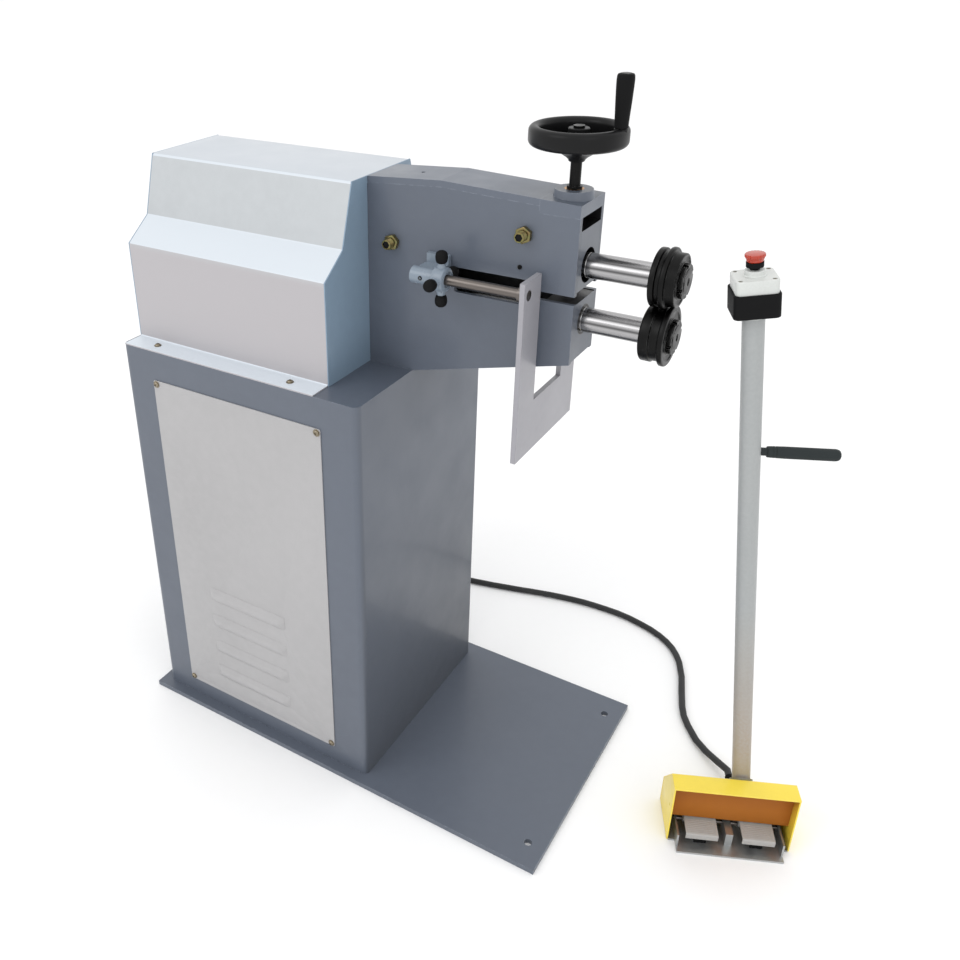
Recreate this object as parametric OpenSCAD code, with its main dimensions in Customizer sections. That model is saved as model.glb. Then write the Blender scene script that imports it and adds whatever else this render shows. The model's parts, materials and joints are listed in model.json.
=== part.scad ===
// Motorised bead roller on a cabinet pedestal, with a two-pedal foot control on a cable.
// Millimetres. The origin is the centre of the base plate's underside, +X runs along the
// arm towards the rollers, -Y is the operator's side with the louvred panel, +Z is up.

/* [Base plate] */
// Length of the base plate
base_l = 870; // [800:5:1000]
// Width of the base plate
base_w = 460; // [440:5:560]
// Thickness of the base plate
base_t = 10; // [6:1:16]
// Radius of an anchor hole
anchor_r = 7; // [5:0.5:9]
// Distance from the plate's ends to the anchor holes
anchor_in_x = 32; // [26:1:60]
// Distance from the plate's sides to the anchor holes
anchor_in_y = 48; // [44:1:70]

/* [Pedestal] */
// Gap between the rear end of the base plate and the pedestal
ped_in = 16; // [5:1:40]
// Length of the pedestal
ped_l = 502; // [480:2:560]
// Width of the pedestal
ped_w = 418; // [400:2:436]
// Height of the pedestal above the base plate
ped_h = 780; // [740:5:900]
// Thickness of the pedestal's sheet
ped_t = 3; // [2:0.5:5]
// Radius of the pedestal's bent corners
ped_r = 12; // [8:1:26]

/* [Side panel] */
// Length of the louvred panel
panel_l = 363; // [330:1:380]
// Height of the louvred panel
panel_h = 688; // [600:2:710]
// Thickness of the panel's sheet
panel_t = 2; // [1:0.5:3]
// Height of the panel's lower edge above the base plate
panel_up = 37; // [25:1:50]
// Overlap of the panel round the pedestal's opening
panel_lap = 14; // [10:1:24]
// Length of a louvre
louvre_l = 180; // [100:5:200]
// Height of a louvre
louvre_h = 26; // [16:1:34]
// Depth of a louvre's hood
louvre_d = 9; // [5:0.5:12]
// Spacing of the louvre rows
louvre_pitch = 64; // [50:1:80]
// Number of louvre rows
louvre_n = 4; // [2:1:5]

/* [Cover] */
// Length of the gear cover
cover_l = 416; // [400:2:420]
// Half width of the cover's upright sides
cover_side_y = 167; // [160:1:172]
// Half width of the cover at the shoulder
cover_shoulder_y = 116; // [110:1:124]
// Half width of the cover's flat top
cover_top_y = 86; // [80:1:92]
// Height of the cover's upright sides
cover_side_h = 174; // [160:1:180]
// Height of the cover's shoulder
cover_shoulder_h = 212; // [205:1:220]
// Height of the cover's top above the arm's tail inside it
cover_h = 12; // [8:1:30]
// Thickness of the cover's sheet
cover_t = 2; // [1.5:0.5:3]

/* [Arm] */
// Distance from the pedestal's front to the arm's front end
arm_reach = 269; // [255:1:290]
// Overall width of the arm
arm_w = 88; // [84:1:96]
// Thickness of an arm side plate
arm_t = 8; // [6:1:14]
// Height of the arm's top at the cover
arm_h_rear = 312; // [308:1:318]
// Height of the arm's top at its crown
arm_h_crown = 320; // [318:1:326]
// Height of the arm's top at the front
arm_h_front = 310; // [304:1:316]
// Rise of the arm's lower edge towards the front
arm_rise = 71; // [50:1:76]
// Thickness of the arm's top plate
arm_top_t = 10; // [6:1:14]
// Height of the narrow throat slot
slot_h = 13; // [8:0.5:15]
// Height of the throat window
window_h = 40; // [30:1:46]
// Distance from the arm's front end to the throat window
window_in = 70; // [60:1:84]
// Length of the throat window
window_l = 125; // [90:1:127]

/* [Shafts and rollers] */
// Height of the lower shaft above the pedestal
lower_shaft_h = 130; // [122:1:134]
// Distance between the shafts
shaft_gap = 84; // [80:1:92]
// Radius of both shafts
shaft_r = 18.5; // [14:0.5:19.5]
// Free length of the upper shaft between the arm and its roller
shaft_nose = 101; // [70:1:120]
// How much nearer to the arm the lower roller sits
lower_roller_in = 5; // [0:0.5:8]
// Width of a roller
roller_w = 36; // [30:1:44]
// Thickness of a roller's lock nut
lock_nut_t = 7; // [5:0.5:12]
// Radius of a roller's lock nut
lock_nut_r = 25; // [23:0.5:30]
// Number of teeth on each shaft gear
gear_teeth = 22; // [20:2:26]
// Width of a shaft gear
gear_w = 24; // [16:1:26]
// Running clearance of shafts and pins, on the radius
run_gap = 0.05; // [0.02:0.01:0.09]
// Clearance between parts that move past each other
side_gap = 0.3; // [0.25:0.05:0.5]
// How far the upper roller lifts at the pressure screw
lift = 8; // [4:0.5:9]

/* [Handwheel] */
// Distance from the arm's front end to the pressure screw
screw_in = 30; // [26:1:32]
// Radius of the pressure screw
screw_r = 8; // [7:0.5:9]
// Height of the screw boss above the arm's nose
boss_h = 12; // [8:1:24]
// Height of the handwheel's rim above the screw boss
wheel_up = 74; // [66:1:90]
// Outer radius of the handwheel
wheel_r = 69; // [60:1:90]
// Thickness of the handwheel's rim
rim_t = 16; // [12:0.5:20]
// Height of the handwheel's rim
rim_h = 28; // [20:0.5:34]
// Length of the revolving handle
handle_l = 70; // [56:1:110]
// Radius of the handle at its top
handle_top_r = 12; // [11:0.5:15]
// Radius of the handle at its foot
handle_foot_r = 9.5; // [8:0.5:11]
// Direction of the handle at rest
handle_angle = 0; // [-180:5:180]

/* [Depth gauge] */
// Distance of the gauge rod from the arm's middle
gauge_y = 92; // [91:1:100]
// Radius of the gauge rod
gauge_r = 8; // [6:0.5:9]
// Distance from the pedestal's front to the fence
fence_x = 212; // [205:1:225]
// Thickness of the fence
fence_t = 8; // [5:1:10]
// Distance from the gauge rod to the fence's side edge
fence_edge = 15; // [13:1:30]
// Gap between the arm's side and the fence
fence_gap = 7; // [4:0.5:10]
// Height of the fence's top above the pedestal
fence_top = 208; // [200:1:214]
// Depth of the fence's prongs
fence_prong = 203; // [195:1:210]
// Height of the bar below the fence's prongs
fence_bar = 87; // [60:1:100]
// Radius of the star handle to its knobs
star_r = 34.5; // [33:0.5:37]
// Radius of a star handle knob
star_knob_r = 9.5; // [8:0.5:10]

/* [Foot control] */
// Distance of the foot control from the pedestal's front, along the arm
foot_x = 613; // [597:4:677]
// Place of the foot control across the arm
foot_y = 4; // [-40:4:40]
// Turn of the foot control towards the operator
foot_turn = 25; // [0:1:40]
// Width of the guard hood
hood_w = 206; // [190:2:230]
// Height of the guard hood
hood_h = 125; // [115:1:150]
// Depth of the guard hood
hood_d = 90; // [86:1:120]
// Depth of the flat band on the hood's top
hood_band = 35; // [30:1:44]
// Height of the hood's upright back
hood_back_h = 58; // [50:1:70]
// Thickness of the hood's sheet
hood_t = 2.5; // [1.5:0.5:3]
// Width of the foot control's base at its front lip
foot_base_w = 178; // [170:2:184]
// Length of the lip ahead of the hood
foot_lip = 25; // [20:1:40]
// Thickness of the foot control's base
foot_base_t = 4; // [3:0.5:6]
// Width of a pedal
pedal_w = 54; // [46:1:60]
// Gap between the pedals
pedal_gap = 40; // [28:1:46]
// Distance of the pole from the hood's front
pole_y = 58; // [57:1:64]
// Place of the pole to the right of the hood's middle
pole_x = 16; // [0:1:24]
// Length of the pole above the hood's top
pole_l = 854; // [700:1:950]
// Radius of the pole
pole_r = 15; // [12:0.5:16]
// Thickness of the pole's wall
pole_t = 2; // [1.5:0.5:3]
// Sideways lean of the pole
pole_lean = 7.5; // [0:0.5:9]
// Height of the grip bar above the hood's top
grip_up = 632; // [500:1:680]
// Length of the grip bar
grip_l = 102; // [80:2:140]
// Radius of the grip bar
grip_r = 9; // [7:0.5:11]
// Width of the switch box
box_w = 61; // [54:1:80]
// Depth of the switch box
box_d = 58; // [50:1:70]
// Height of the switch box's black lower half
box_h = 34; // [28:1:45]
// Height of the switch box's white lid
lid_h = 19; // [18:1:32]
// Travel of the stop button
button_travel = 4; // [2:0.5:5]

/* [Hidden] */

// Overrun that every cut shares
cut = 1;
// Fixed pieces that sit in a bore are this much smaller on the radius
seat_gap = 0.02;

// Colours
blue_grey = [0.42, 0.45, 0.50];
top_grey = [0.46, 0.49, 0.55];
cover_grey = [0.84, 0.86, 0.88];
panel_grey = [0.72, 0.71, 0.72];
steel = [0.72, 0.72, 0.74];
dark_steel = [0.22, 0.22, 0.23];
black = [0.13, 0.13, 0.13];
zinc_yellow = [0.70, 0.62, 0.30];
bronze = [0.68, 0.50, 0.28];
guard_yellow = [0.93, 0.80, 0.20];
pole_grey = [0.70, 0.72, 0.72];
pedal_grey = [0.66, 0.66, 0.63];
box_white = [0.90, 0.91, 0.90];
stop_red = [0.80, 0.22, 0.14];
motor_blue = [0.25, 0.33, 0.42];

// Pedestal: its ends, top and inside
ped_x0 = -base_l / 2 + ped_in;
ped_x1 = ped_x0 + ped_l;
ped_z = base_t + ped_h;
ped_y = ped_w / 2;
ped_mid = (ped_x0 + ped_x1) / 2;

// Louvred panel: its place on the pedestal's operator side
panel_end_margin = 68;
panel_x0 = ped_x0 + panel_end_margin;
panel_z0 = base_t + panel_up;
panel_in_r = 4;
panel_screw_in = 7;
louvre_t = 1.2;
louvre_left = 81;
louvre_low = 48;
louvre_mouth_share = 0.55;

// Sheet screws: a round head with a washer under it
sheet_screw_r = 3;
sheet_head_r = 5;
sheet_head_h = 3;
sheet_washer_r = 6.5;
sheet_washer_t = 1;
sheet_screw_l = 10;
sheet_hole_r = 3.3;

// Cover: folded from one sheet, with a plate at each end
cover_in = 82;
cover_x1 = ped_x1 - cover_in;
cover_x0 = cover_x1 - cover_l;
cover_end_t = 2;
cover_screw_in = 62;
cover_screw_side = 21;
cover_pass = 0.6;

// Arm: side view outline, seen from the operator's side
arm_x1 = ped_x1 + arm_reach;
arm_y = arm_w / 2;
arm_in = arm_y - arm_t;
arm_tail = 9;
arm_x0 = cover_x1 - arm_tail;
arm_tail_drop = 12;
cover_top_h = arm_h_rear - arm_tail_drop + cover_h;
arm_crown_in = 130;
arm_crown_x = cover_x1 + arm_crown_in;
arm_tail_step = 0.4;
lower_z = ped_z + lower_shaft_h;
upper_z = lower_z + shaft_gap;
slot_rise = -1;
slot_z = (lower_z + upper_z) / 2 + slot_rise;
window_x1 = arm_x1 - window_in;
window_x0 = window_x1 - window_l;
window_r = 5;
nose_cap_t = 18;
boss_r = 27;
boss_foot_r = screw_in;
nose_cap_in = 2;
nose_cap_l = 2 * screw_in + nose_cap_in;

// Shafts, bearings and gears
shaft_tip = 1;
pivot_in = 36;
pivot_x = ped_x1 - pivot_in;
screw_x = arm_x1 - screw_in;
bush_t = 5;
bush_r = shaft_r + bush_t;
rear_block_l = 58;
rear_block_h = 56;
front_block_l = 46;
block_gap = 2;
block_drop = 32;
ball_wall = 7.5;
ball_r = shaft_r + ball_wall;
ball_l = 30;
slot_neck_r = screw_r + side_gap;
screw_foot_r = 13;
screw_foot_t = 5;
screw_foot_up = 5;
nose_w = 2 * arm_in;

// Rollers: radius of each step and places where the steps end, from the arm outwards;
// the lower roller's groove lies below the upper roller's bead
upper_radius_shares = [0.500, 0.449, 0.529, 0.455];
upper_step_shares = [0, 0.23, 0.40, 0.625, 1];
upper_steps = roller_w * upper_step_shares;
lower_radius_shares = [0.492, 0.463, 0.529];
lower_groove_shares = [0.28, 0.65];
lower_steps = [0, lower_roller_in + roller_w * lower_groove_shares[0],
    lower_roller_in + roller_w * lower_groove_shares[1], roller_w];
roller_edge = 1.5;
upper_roller_x0 = arm_x1 + shaft_nose;
lower_roller_x0 = upper_roller_x0 - lower_roller_in;

// Gears: long thin teeth, so that they stay in mesh while the upper shaft tilts
gear_in = 4;
gear_x0 = arm_x0 - gear_w - gear_in;
pitch_r = shaft_gap / 2;
tooth_pitch = 2 * PI * pitch_r / gear_teeth;
tooth_share = 0.4;
tooth_t = tooth_pitch * tooth_share;
pressure_angle = 20;
base_r = pitch_r * cos(pressure_angle);
tip_share = 0.0585;
root_share = 0.135;
tip_r = pitch_r * (1 + tip_share);
root_r = pitch_r * (1 - root_share);
flank_steps = 4;
gear_hub_t = 8;
gear_hub_r = shaft_r + gear_hub_t;
gear_web_t = 4;
gear_rim_share = 0.72;

// Bolts through the arm
trunnion_r = 8;
trunnion_tip_r = 7;
trunnion_tip = 7;
bolt_nut_r = 13;
bolt_nut_t = 9;
bolt_end_r = 8;
bolt_end_l = 12;
bolt_socket_r = 5;
bolt_socket_l = 7;
tie_r = 6;
tie_tube_r = 9;
tie_in = 82;
tie_x = arm_x1 - tie_in;
tie_up = 45;
oil_r = 3.5;
oil_stem_r = 2.5;
oil_out = 1.6;
oil_in = 87;
oil_x = arm_x1 - oil_in;
oil_down = 5;
oil_top_in = 75;
oil_top_x = cover_x1 + oil_top_in;

// Pressure screw and handwheel
nose_z = ped_z + arm_h_front;
block_clear = 12;
block_top = nose_z - nose_cap_t - lift - block_clear - upper_z;
boss_z = nose_z + boss_h;
wheel_z = boss_z + wheel_up;
rim_r = wheel_r - rim_t / 2;
hub_r = 15;
hub_up = 10;
hub_low = 36;
hub_foot_r = 11;
web_t = 6;
web_low = 9;
collar_r = 11;
collar_h = 4;
nut_flange_r = 18;
nut_flange_t = 4;
nut_r = 14;
screw_top = 3;
handle_pin_r = 4;
handle_pin_head_r = 7;
handle_pin_head_t = 3;
handle_in = 2;
handle_x = rim_r - handle_in;
handle_foot = 1;

// Depth gauge
gauge_up = 16;
gauge_z = slot_z + gauge_up;
fence_xa = ped_x1 + fence_x;
fence_half_w = gauge_y + fence_edge;
rod_tail = 181;
rod_collar_r = 12;
rod_collar_t = 6;
bracket_out = 30;
bracket_x = ped_x1 + bracket_out;
bracket_l = 38;
bracket_r = 13;
bracket_plate_t = 8;
bracket_plate_h = 44;
bracket_web_t = 16;
star_x = bracket_x + bracket_l + side_gap;
star_hub_l = 20;
star_hub_r = 19;
star_arm_r = 7;
star_knob_l = 2 * star_knob_r;

// Reducer, motor and electrics
reducer_l = 110;
reducer_w = 128;
reducer_up = 64;
reducer_in = 134;
reducer_x = cover_x1 - reducer_in;
reducer_flange_r = 46;
reducer_flange_t = 12;
reducer_foot_t = 12;
reducer_foot_out = 14;
reducer_edge_r = 14;
worm_y = 63;
worm_r = 44;
worm_up = 70;
motor_r = 58;
motor_fin_r = 68;
motor_fin_t = 3;
motor_fins = 24;
motor_l = 210;
motor_flange_r = 80;
motor_flange_t = 12;
cowl_l = 56;
cowl_t = 2;
cowl_slots = 12;
cowl_slot_w = 6;
fan_boss_r = 14;
motor_hole_r = 30;
tbox_w = 84;
tbox_h = 84;
tbox_d = 42;
tbox_down = 60;
relay_w = 190;
relay_h = 260;
relay_d = 110;
relay_up = 330;
box_round = 6;

// Cable glands: hexagon, dome nut and tapered sleeve
gland_hex_r = 13;
gland_hex_t = 10;
gland_dome_r = 11.5;
gland_dome_t = 13;
gland_tip_r = 7.5;
gland_tip_l = 23;
gland_thread_r = 8;
gland_thread_l = 8;
gland_l = gland_hex_t + gland_dome_t + gland_tip_l;
foot_gland_in = 219;
foot_gland_x = ped_x0 + foot_gland_in;
foot_gland_z = 70;
mains_gland_z = 150;
hood_gland_x = 24;
hood_gland_z = 25;

// Foot control
hood_x = hood_w / 2;
hood_floor = 1;
foot_base_back = hood_d - hood_t;
foot_base_x = hood_x - hood_t;
foot_side_t = 3;
foot_side_h = 31;
foot_side_front = 14;
foot_rib_front = 2;
foot_side_back = 38;
hood_wall_y = 24;
hood_wall_z = 40;
pedal_front = 10;
pedal_pin_y = 32;
pedal_pin_z = 22;
pedal_pin_r = 3;
pedal_t = 3;
pedal_top_z = 37;
pedal_lip_h = 12;
pedal_back = 38;
pedal_cheek_t = 4;
pedal_tilt = 5;
pedal_x = (pedal_gap + pedal_w) / 2;
post_w = 12;
switch_w = 20;
switch_d = 20;
switch_h = 20;
switch_y = 8;
plunger_r = 2;
plunger_h = 4;
socket_r = 19;
socket_h = 34;
grommet_r = 19;
grommet_neck_r = 17;
grommet_t = 4;
pole_reach = 400;
grip_stub_r = 6;
grip_stub_l = 8;
grip_end_r = 3;
lid_in = 2.5;
lid_w = box_w - 2 * lid_in;
lid_d = box_d - 2 * lid_in;
box_corner_r = 8;
neck_r = 13.5;
neck_h = 8;
stem_r = 11.5;
stem_h = 11;
head_r = 13.5;
head_foot_r = 11;
head_h = 11;
head_pin_r = 5;
head_pin_l = 6;
stem_rod_r = 6;
stem_rod_l = 16;

// Foot cable: radius and route, chosen by hand along the floor; its ends meet two glands
cable_r = 6.5;
cable_sides = 10;
hood_gland_way = [sin(foot_turn), -cos(foot_turn), 0];
hood_gland_mouth = [ped_x1 + foot_x, foot_y, hood_gland_z]
    + hood_gland_x * [cos(foot_turn), sin(foot_turn), 0] - (hood_d + gland_l) * hood_gland_way;
cable_lead = 16;
cable_sag = 1;
cable_points = [
    [foot_gland_x, ped_y + gland_l, foot_gland_z],
    [-200, 276, 69], [-199, 298, 62], [-196, 319, 49], [-191, 338, 33],
    [-183, 356, 18], [-172, 373, 9], [-157, 389, 6.5], [-138, 403, 6.5], [-116, 415, 6.5],
    [-88, 425, 6.5], [-56, 433, 6.5], [-22, 440, 6.5], [20, 450, 6.5], [42, 456, 6.5],
    [64, 462, 6.5], [86, 468, 6.5], [108, 475, 6.5], [130, 481, 6.5], [152, 487, 6.5],
    [178, 493, 6.5], [204, 498, 6.5], [230, 502, 6.5], [256, 504, 6.5], [284, 505, 6.5],
    [312, 505, 6.5], [340, 502, 6.5], [368, 496, 6.5], [394, 489, 6.5], [418, 479, 6.5],
    [438, 467, 6.5], [456, 452, 6.5], [471, 434, 6.5], [483, 415, 6.5], [501, 374, 6.5],
    [514, 332, 6.5], [528, 290, 6.5], [539, 265, 6.5], [554, 243, 6.5], [579, 213, 7],
    [606, 188, 12], [633, 168, 18],
    hood_gland_mouth - cable_lead * hood_gland_way - [0, 0, cable_sag],
    hood_gland_mouth];

// Swaps an upright shape so that its own height runs along X or Y
module along_x(x, y, z) {
    translate([x, y, z]) rotate([0, 90, 0]) children();
}
module along_y(x, y, z) {
    translate([x, y, z]) rotate([-90, 0, 0]) children();
}

// A side view outline, drawn in X and Z, given its width along Y from y on
module side_plate(y, w) {
    translate([0, y + w, 0]) rotate([90, 0, 0]) linear_extrude(height = w) children();
}

// A cross section drawn in Y and Z, given its length along X from x on
module cross_section(x, l) {
    translate([x, 0, 0]) rotate([90, 0, 90]) linear_extrude(height = l) children();
}

module round_rect(w, d, r) {
    square([w - 2 * r, d], center = true);
    square([w, d - 2 * r], center = true);
    for (sx = [-1, 1], sy = [-1, 1])
        translate([sx * (w / 2 - r), sy * (d / 2 - r)]) circle(r = r, $fn = 48);
}

module round_box(w, d, h, r) {
    linear_extrude(height = h) round_rect(w, d, r);
}

module box_at(x0, x1, y0, y1, z0, z1) {
    translate([x0, y0, z0]) cube([x1 - x0, y1 - y0, z1 - z0]);
}

module rod(r, h) {
    cylinder(r = r, h = h, $fn = 64);
}

module hex(r, h) {
    cylinder(r = r, h = h, $fn = 6);
}

// Base and pedestal

module base_plate() {
    color(blue_grey) difference() {
        linear_extrude(height = base_t) square([base_l, base_w], center = true);
        for (sx = [-1, 1], sy = [-1, 1])
            translate([sx * (base_l / 2 - anchor_in_x), sy * (base_w / 2 - anchor_in_y), -cut])
                rod(anchor_r, base_t + 2 * cut);
    }
}

module pedestal_shell() {
    color(blue_grey) difference() {
        translate([ped_mid, 0, base_t]) round_box(ped_l, ped_w, ped_h, ped_r);
        translate([ped_mid, 0, base_t - cut])
            round_box(ped_l - 2 * ped_t, ped_w - 2 * ped_t, ped_h + cut - ped_t, ped_r - ped_t);
        box_at(panel_x0 + panel_lap, panel_x0 + panel_l - panel_lap, -ped_y - cut,
            -ped_y + ped_t + cut, panel_z0 + panel_lap, panel_z0 + panel_h - panel_lap);
        translate([reducer_x, worm_y, ped_z - ped_t - cut]) rod(motor_hole_r, ped_t + 2 * cut);
        along_y(foot_gland_x, ped_y - ped_t - cut, foot_gland_z)
            rod(gland_thread_r, ped_t + 2 * cut);
        along_x(ped_x0 - cut, 0, mains_gland_z) rod(gland_thread_r, ped_t + 2 * cut);
        panel_screw_places() along_y(0, -ped_y - cut, 0) rod(sheet_screw_r, ped_t + 2 * cut);
        cover_screw_places() translate([0, 0, ped_z - ped_t - cut])
            rod(sheet_screw_r, ped_t + 2 * cut);
    }
}

module panel_screw_places() {
    for (x = [panel_x0 + panel_screw_in, panel_x0 + panel_l - panel_screw_in],
            z = [panel_z0 + panel_screw_in, panel_z0 + panel_h - panel_screw_in])
        translate([x, 0, z]) children();
}

module cover_screw_places() {
    for (x = [cover_x0 + cover_screw_in, cover_x1 - cover_screw_in], sy = [-1, 1])
        translate([x, sy * (ped_y - cover_screw_side), 0]) children();
}

// Profile of a louvre's hood, drawn outwards and up
module louvre_profile(inset) {
    mouth = louvre_h * louvre_mouth_share;
    polygon([[0, louvre_h - inset], [louvre_d - inset, mouth], [louvre_d - inset, 0], [0, 0]]);
}

module side_panel() {
    face_y = -ped_y - panel_t;
    color(panel_grey) {
        difference() {
            side_plate(face_y, panel_t)
                translate([panel_x0 + panel_l / 2, panel_z0 + panel_h / 2])
                    round_rect(panel_l, panel_h, panel_in_r);
            panel_screw_places() along_y(0, face_y - cut, 0) rod(sheet_hole_r, panel_t + 2 * cut);
            for (i = [0 : louvre_n - 1])
                box_at(panel_x0 + louvre_left + louvre_t,
                    panel_x0 + louvre_left + louvre_l - louvre_t, face_y - cut,
                    -ped_y + cut, panel_z0 + louvre_low + i * louvre_pitch,
                    panel_z0 + louvre_low + i * louvre_pitch + louvre_h * louvre_mouth_share);
        }
        for (i = [0 : louvre_n - 1])
            translate([panel_x0 + louvre_left, face_y, panel_z0 + louvre_low + i * louvre_pitch])
                louvre_hood();
    }
}

module louvre_hood() {
    difference() {
        rotate([90, 0, 90]) linear_extrude(height = louvre_l) mirror([1, 0]) louvre_profile(0);
        translate([louvre_t, cut, -cut]) rotate([90, 0, 90])
            linear_extrude(height = louvre_l - 2 * louvre_t) mirror([1, 0])
                polygon([[0, louvre_h], [cut, louvre_h - louvre_t],
                    [louvre_d + cut - louvre_t, louvre_h * louvre_mouth_share + cut / 2],
                    [louvre_d + cut - louvre_t, 0], [0, 0]]);
    }
}

module sheet_screw() {
    translate([0, 0, -sheet_screw_l]) rod(sheet_screw_r - seat_gap, sheet_screw_l);
    rod(sheet_washer_r, sheet_washer_t);
    translate([0, 0, sheet_washer_t]) difference() {
        rod(sheet_head_r, sheet_head_h);
        translate([0, 0, sheet_head_h / 2]) hex(sheet_screw_r, sheet_head_h);
    }
}

module sheet_screws() {
    color(steel) {
        panel_screw_places() translate([0, -ped_y - panel_t, 0]) rotate([90, 0, 0])
            sheet_screw();
        cover_screw_places() translate([0, 0, ped_z + cover_t]) sheet_screw();
    }
}

// Cover

// Cover's cross section from the pedestal's top, shrunk inwards by s, flanges left off
module cover_section(s) {
    slope = (cover_shoulder_y - cover_top_y) / (cover_top_h - cover_shoulder_h);
    polygon([[-cover_side_y + s, ped_z], [-cover_side_y + s, ped_z + cover_side_h],
        [-cover_shoulder_y + s, ped_z + cover_shoulder_h],
        [-cover_top_y + s - slope * s, ped_z + cover_top_h - s],
        [cover_top_y - s + slope * s, ped_z + cover_top_h - s],
        [cover_shoulder_y - s, ped_z + cover_shoulder_h],
        [cover_side_y - s, ped_z + cover_side_h], [cover_side_y - s, ped_z]]);
}

module gear_cover() {
    l = cover_l - 2 * cover_end_t;
    x = cover_x0 + cover_end_t;
    color(cover_grey) difference() {
        union() {
            cross_section(x, l) cover_section(0);
            for (sy = [-1, 1])
                box_at(x, x + l, min(sy * ped_y, sy * (cover_side_y - cover_t)),
                    max(sy * ped_y, sy * (cover_side_y - cover_t)), ped_z, ped_z + cover_t);
        }
        translate([0, 0, -cut]) cross_section(x - cut, l + 2 * cut) union() {
            cover_section(cover_t);
            translate([0, cut]) cover_section(cover_t);
        }
        cover_screw_places() translate([0, 0, ped_z - cut])
            rod(sheet_hole_r, cover_t + 2 * cut);
    }
}

module cover_end_front() {
    top = ped_z + arm_h_rear - arm_tail_drop + cover_pass;
    color(blue_grey) difference() {
        cross_section(cover_x1 - cover_end_t, cover_end_t) cover_section(0);
        box_at(cover_x1 - cover_end_t - cut, cover_x1 + cut, -arm_y - cover_pass,
            arm_y + cover_pass, ped_z - cut, top);
    }
}

module cover_end_rear() {
    color(blue_grey) cross_section(cover_x0, cover_end_t) cover_section(0);
}

// Arm

module arm_outline(hole_h) {
    difference() {
        polygon([[arm_x0, ped_z], [ped_x1, ped_z], [arm_x1, ped_z + arm_rise],
            [arm_x1, nose_z - nose_cap_t], [arm_x1 - nose_cap_l, nose_z - nose_cap_t],
            [arm_x1 - nose_cap_l, arm_top_at(arm_x1 - nose_cap_l) - arm_top_t],
            [arm_crown_x, ped_z + arm_h_crown - arm_top_t],
            [cover_x1 + arm_tail_step, ped_z + arm_h_rear - arm_top_t],
            [cover_x1 + arm_tail_step, ped_z + arm_h_rear - arm_tail_drop],
            [arm_x0, ped_z + arm_h_rear - arm_tail_drop]]);
        translate([window_x0 + window_l / 2, slot_z])
            round_rect(window_l, hole_h, min(window_r, hole_h / 2 - cut));
        translate([window_x1 - cut, slot_z - slot_h / 2])
            square([window_in + 2 * cut, slot_h]);
    }
}

// Height of the arm's top at a place between the cover and its crown
function arm_rear_at(x) = ped_z + arm_h_rear
    + (arm_h_crown - arm_h_rear) * (x - cover_x1) / (arm_crown_x - cover_x1);

// Height of the arm's top at a place ahead of its crown
function arm_top_at(x) = ped_z + arm_h_crown
    - (arm_h_crown - arm_h_front) * (x - arm_crown_x) / (arm_x1 - arm_crown_x);

// A side plate; the operator's one has the tall window, the other only the slot
module arm_plate(side) {
    y = side < 0 ? -arm_y : arm_in;
    color(blue_grey) difference() {
        side_plate(y, arm_t) arm_outline(side < 0 ? window_h : slot_h);
        along_y(pivot_x, y - cut, upper_z) rod(trunnion_r, arm_t + 2 * cut);
        along_y(tie_x, y - cut, upper_z + tie_up) rod(tie_r, arm_t + 2 * cut);
        along_y(oil_x, y - cut, upper_z - oil_down) rod(oil_stem_r, arm_t + 2 * cut);
    }
}

// Height of the arm's sloping lower edge
function arm_foot_at(x) = ped_z + arm_rise * (x - ped_x1) / arm_reach;

module arm_plate_near() {
    arm_plate(-1);
}

module arm_plate_far() {
    arm_plate(1);
}

module arm_top_plate() {
    x1 = arm_x1 - nose_cap_l;
    color(top_grey) difference() {
        side_plate(-arm_y, arm_w) polygon([
            [cover_x1 + arm_tail_step, ped_z + arm_h_rear - arm_top_t],
            [arm_crown_x, ped_z + arm_h_crown - arm_top_t], [x1, arm_top_at(x1) - arm_top_t],
            [x1, arm_top_at(x1)], [arm_crown_x, ped_z + arm_h_crown],
            [cover_x1 + arm_tail_step, ped_z + arm_h_rear]]);
        translate([oil_top_x, 0, arm_rear_at(oil_top_x) - arm_top_t - oil_r - cut])
            rod(oil_r, arm_top_t + 2 * oil_r + 2 * cut);
    }
}

module arm_nose_cap() {
    color(top_grey) difference() {
        union() {
            side_plate(-arm_y, arm_w) polygon([
                [arm_x1 - nose_cap_l, nose_z - nose_cap_t], [arm_x1, nose_z - nose_cap_t],
                [arm_x1, nose_z], [arm_x1 - nose_cap_l, arm_top_at(arm_x1 - nose_cap_l)]]);
            translate([screw_x, 0, nose_z - cut])
                cylinder(r1 = boss_foot_r, r2 = boss_r, h = boss_h + cut, $fn = 64);
        }
        translate([screw_x, 0, nose_z - nose_cap_t - cut])
            rod(nut_r, nose_cap_t + boss_h + 2 * cut);
        translate([screw_x, 0, nose_z - nose_cap_t - cut]) rod(nut_flange_r, nut_flange_t + cut);
    }
}

module screw_nut() {
    color(bronze) translate([screw_x, 0, nose_z - nose_cap_t]) difference() {
        union() {
            rod(nut_flange_r - seat_gap, nut_flange_t);
            rod(nut_r - seat_gap, nose_cap_t + boss_h);
        }
        translate([0, 0, -cut]) rod(screw_r + run_gap, nose_cap_t + boss_h + 2 * cut);
    }
}

// Lower bearings, fixed between the side plates

module lower_front_block() {
    top = slot_z - slot_h / 2 - block_gap / 2;
    color(top_grey) difference() {
        side_plate(-arm_in, nose_w) polygon([
            [arm_x1 - front_block_l, arm_foot_at(arm_x1 - front_block_l) + block_gap],
            [arm_x1, arm_foot_at(arm_x1) + block_gap], [arm_x1, top],
            [arm_x1 - front_block_l, top]]);
        along_x(arm_x1 - front_block_l - cut, 0, lower_z) rod(bush_r, front_block_l + 2 * cut);
    }
}

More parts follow.
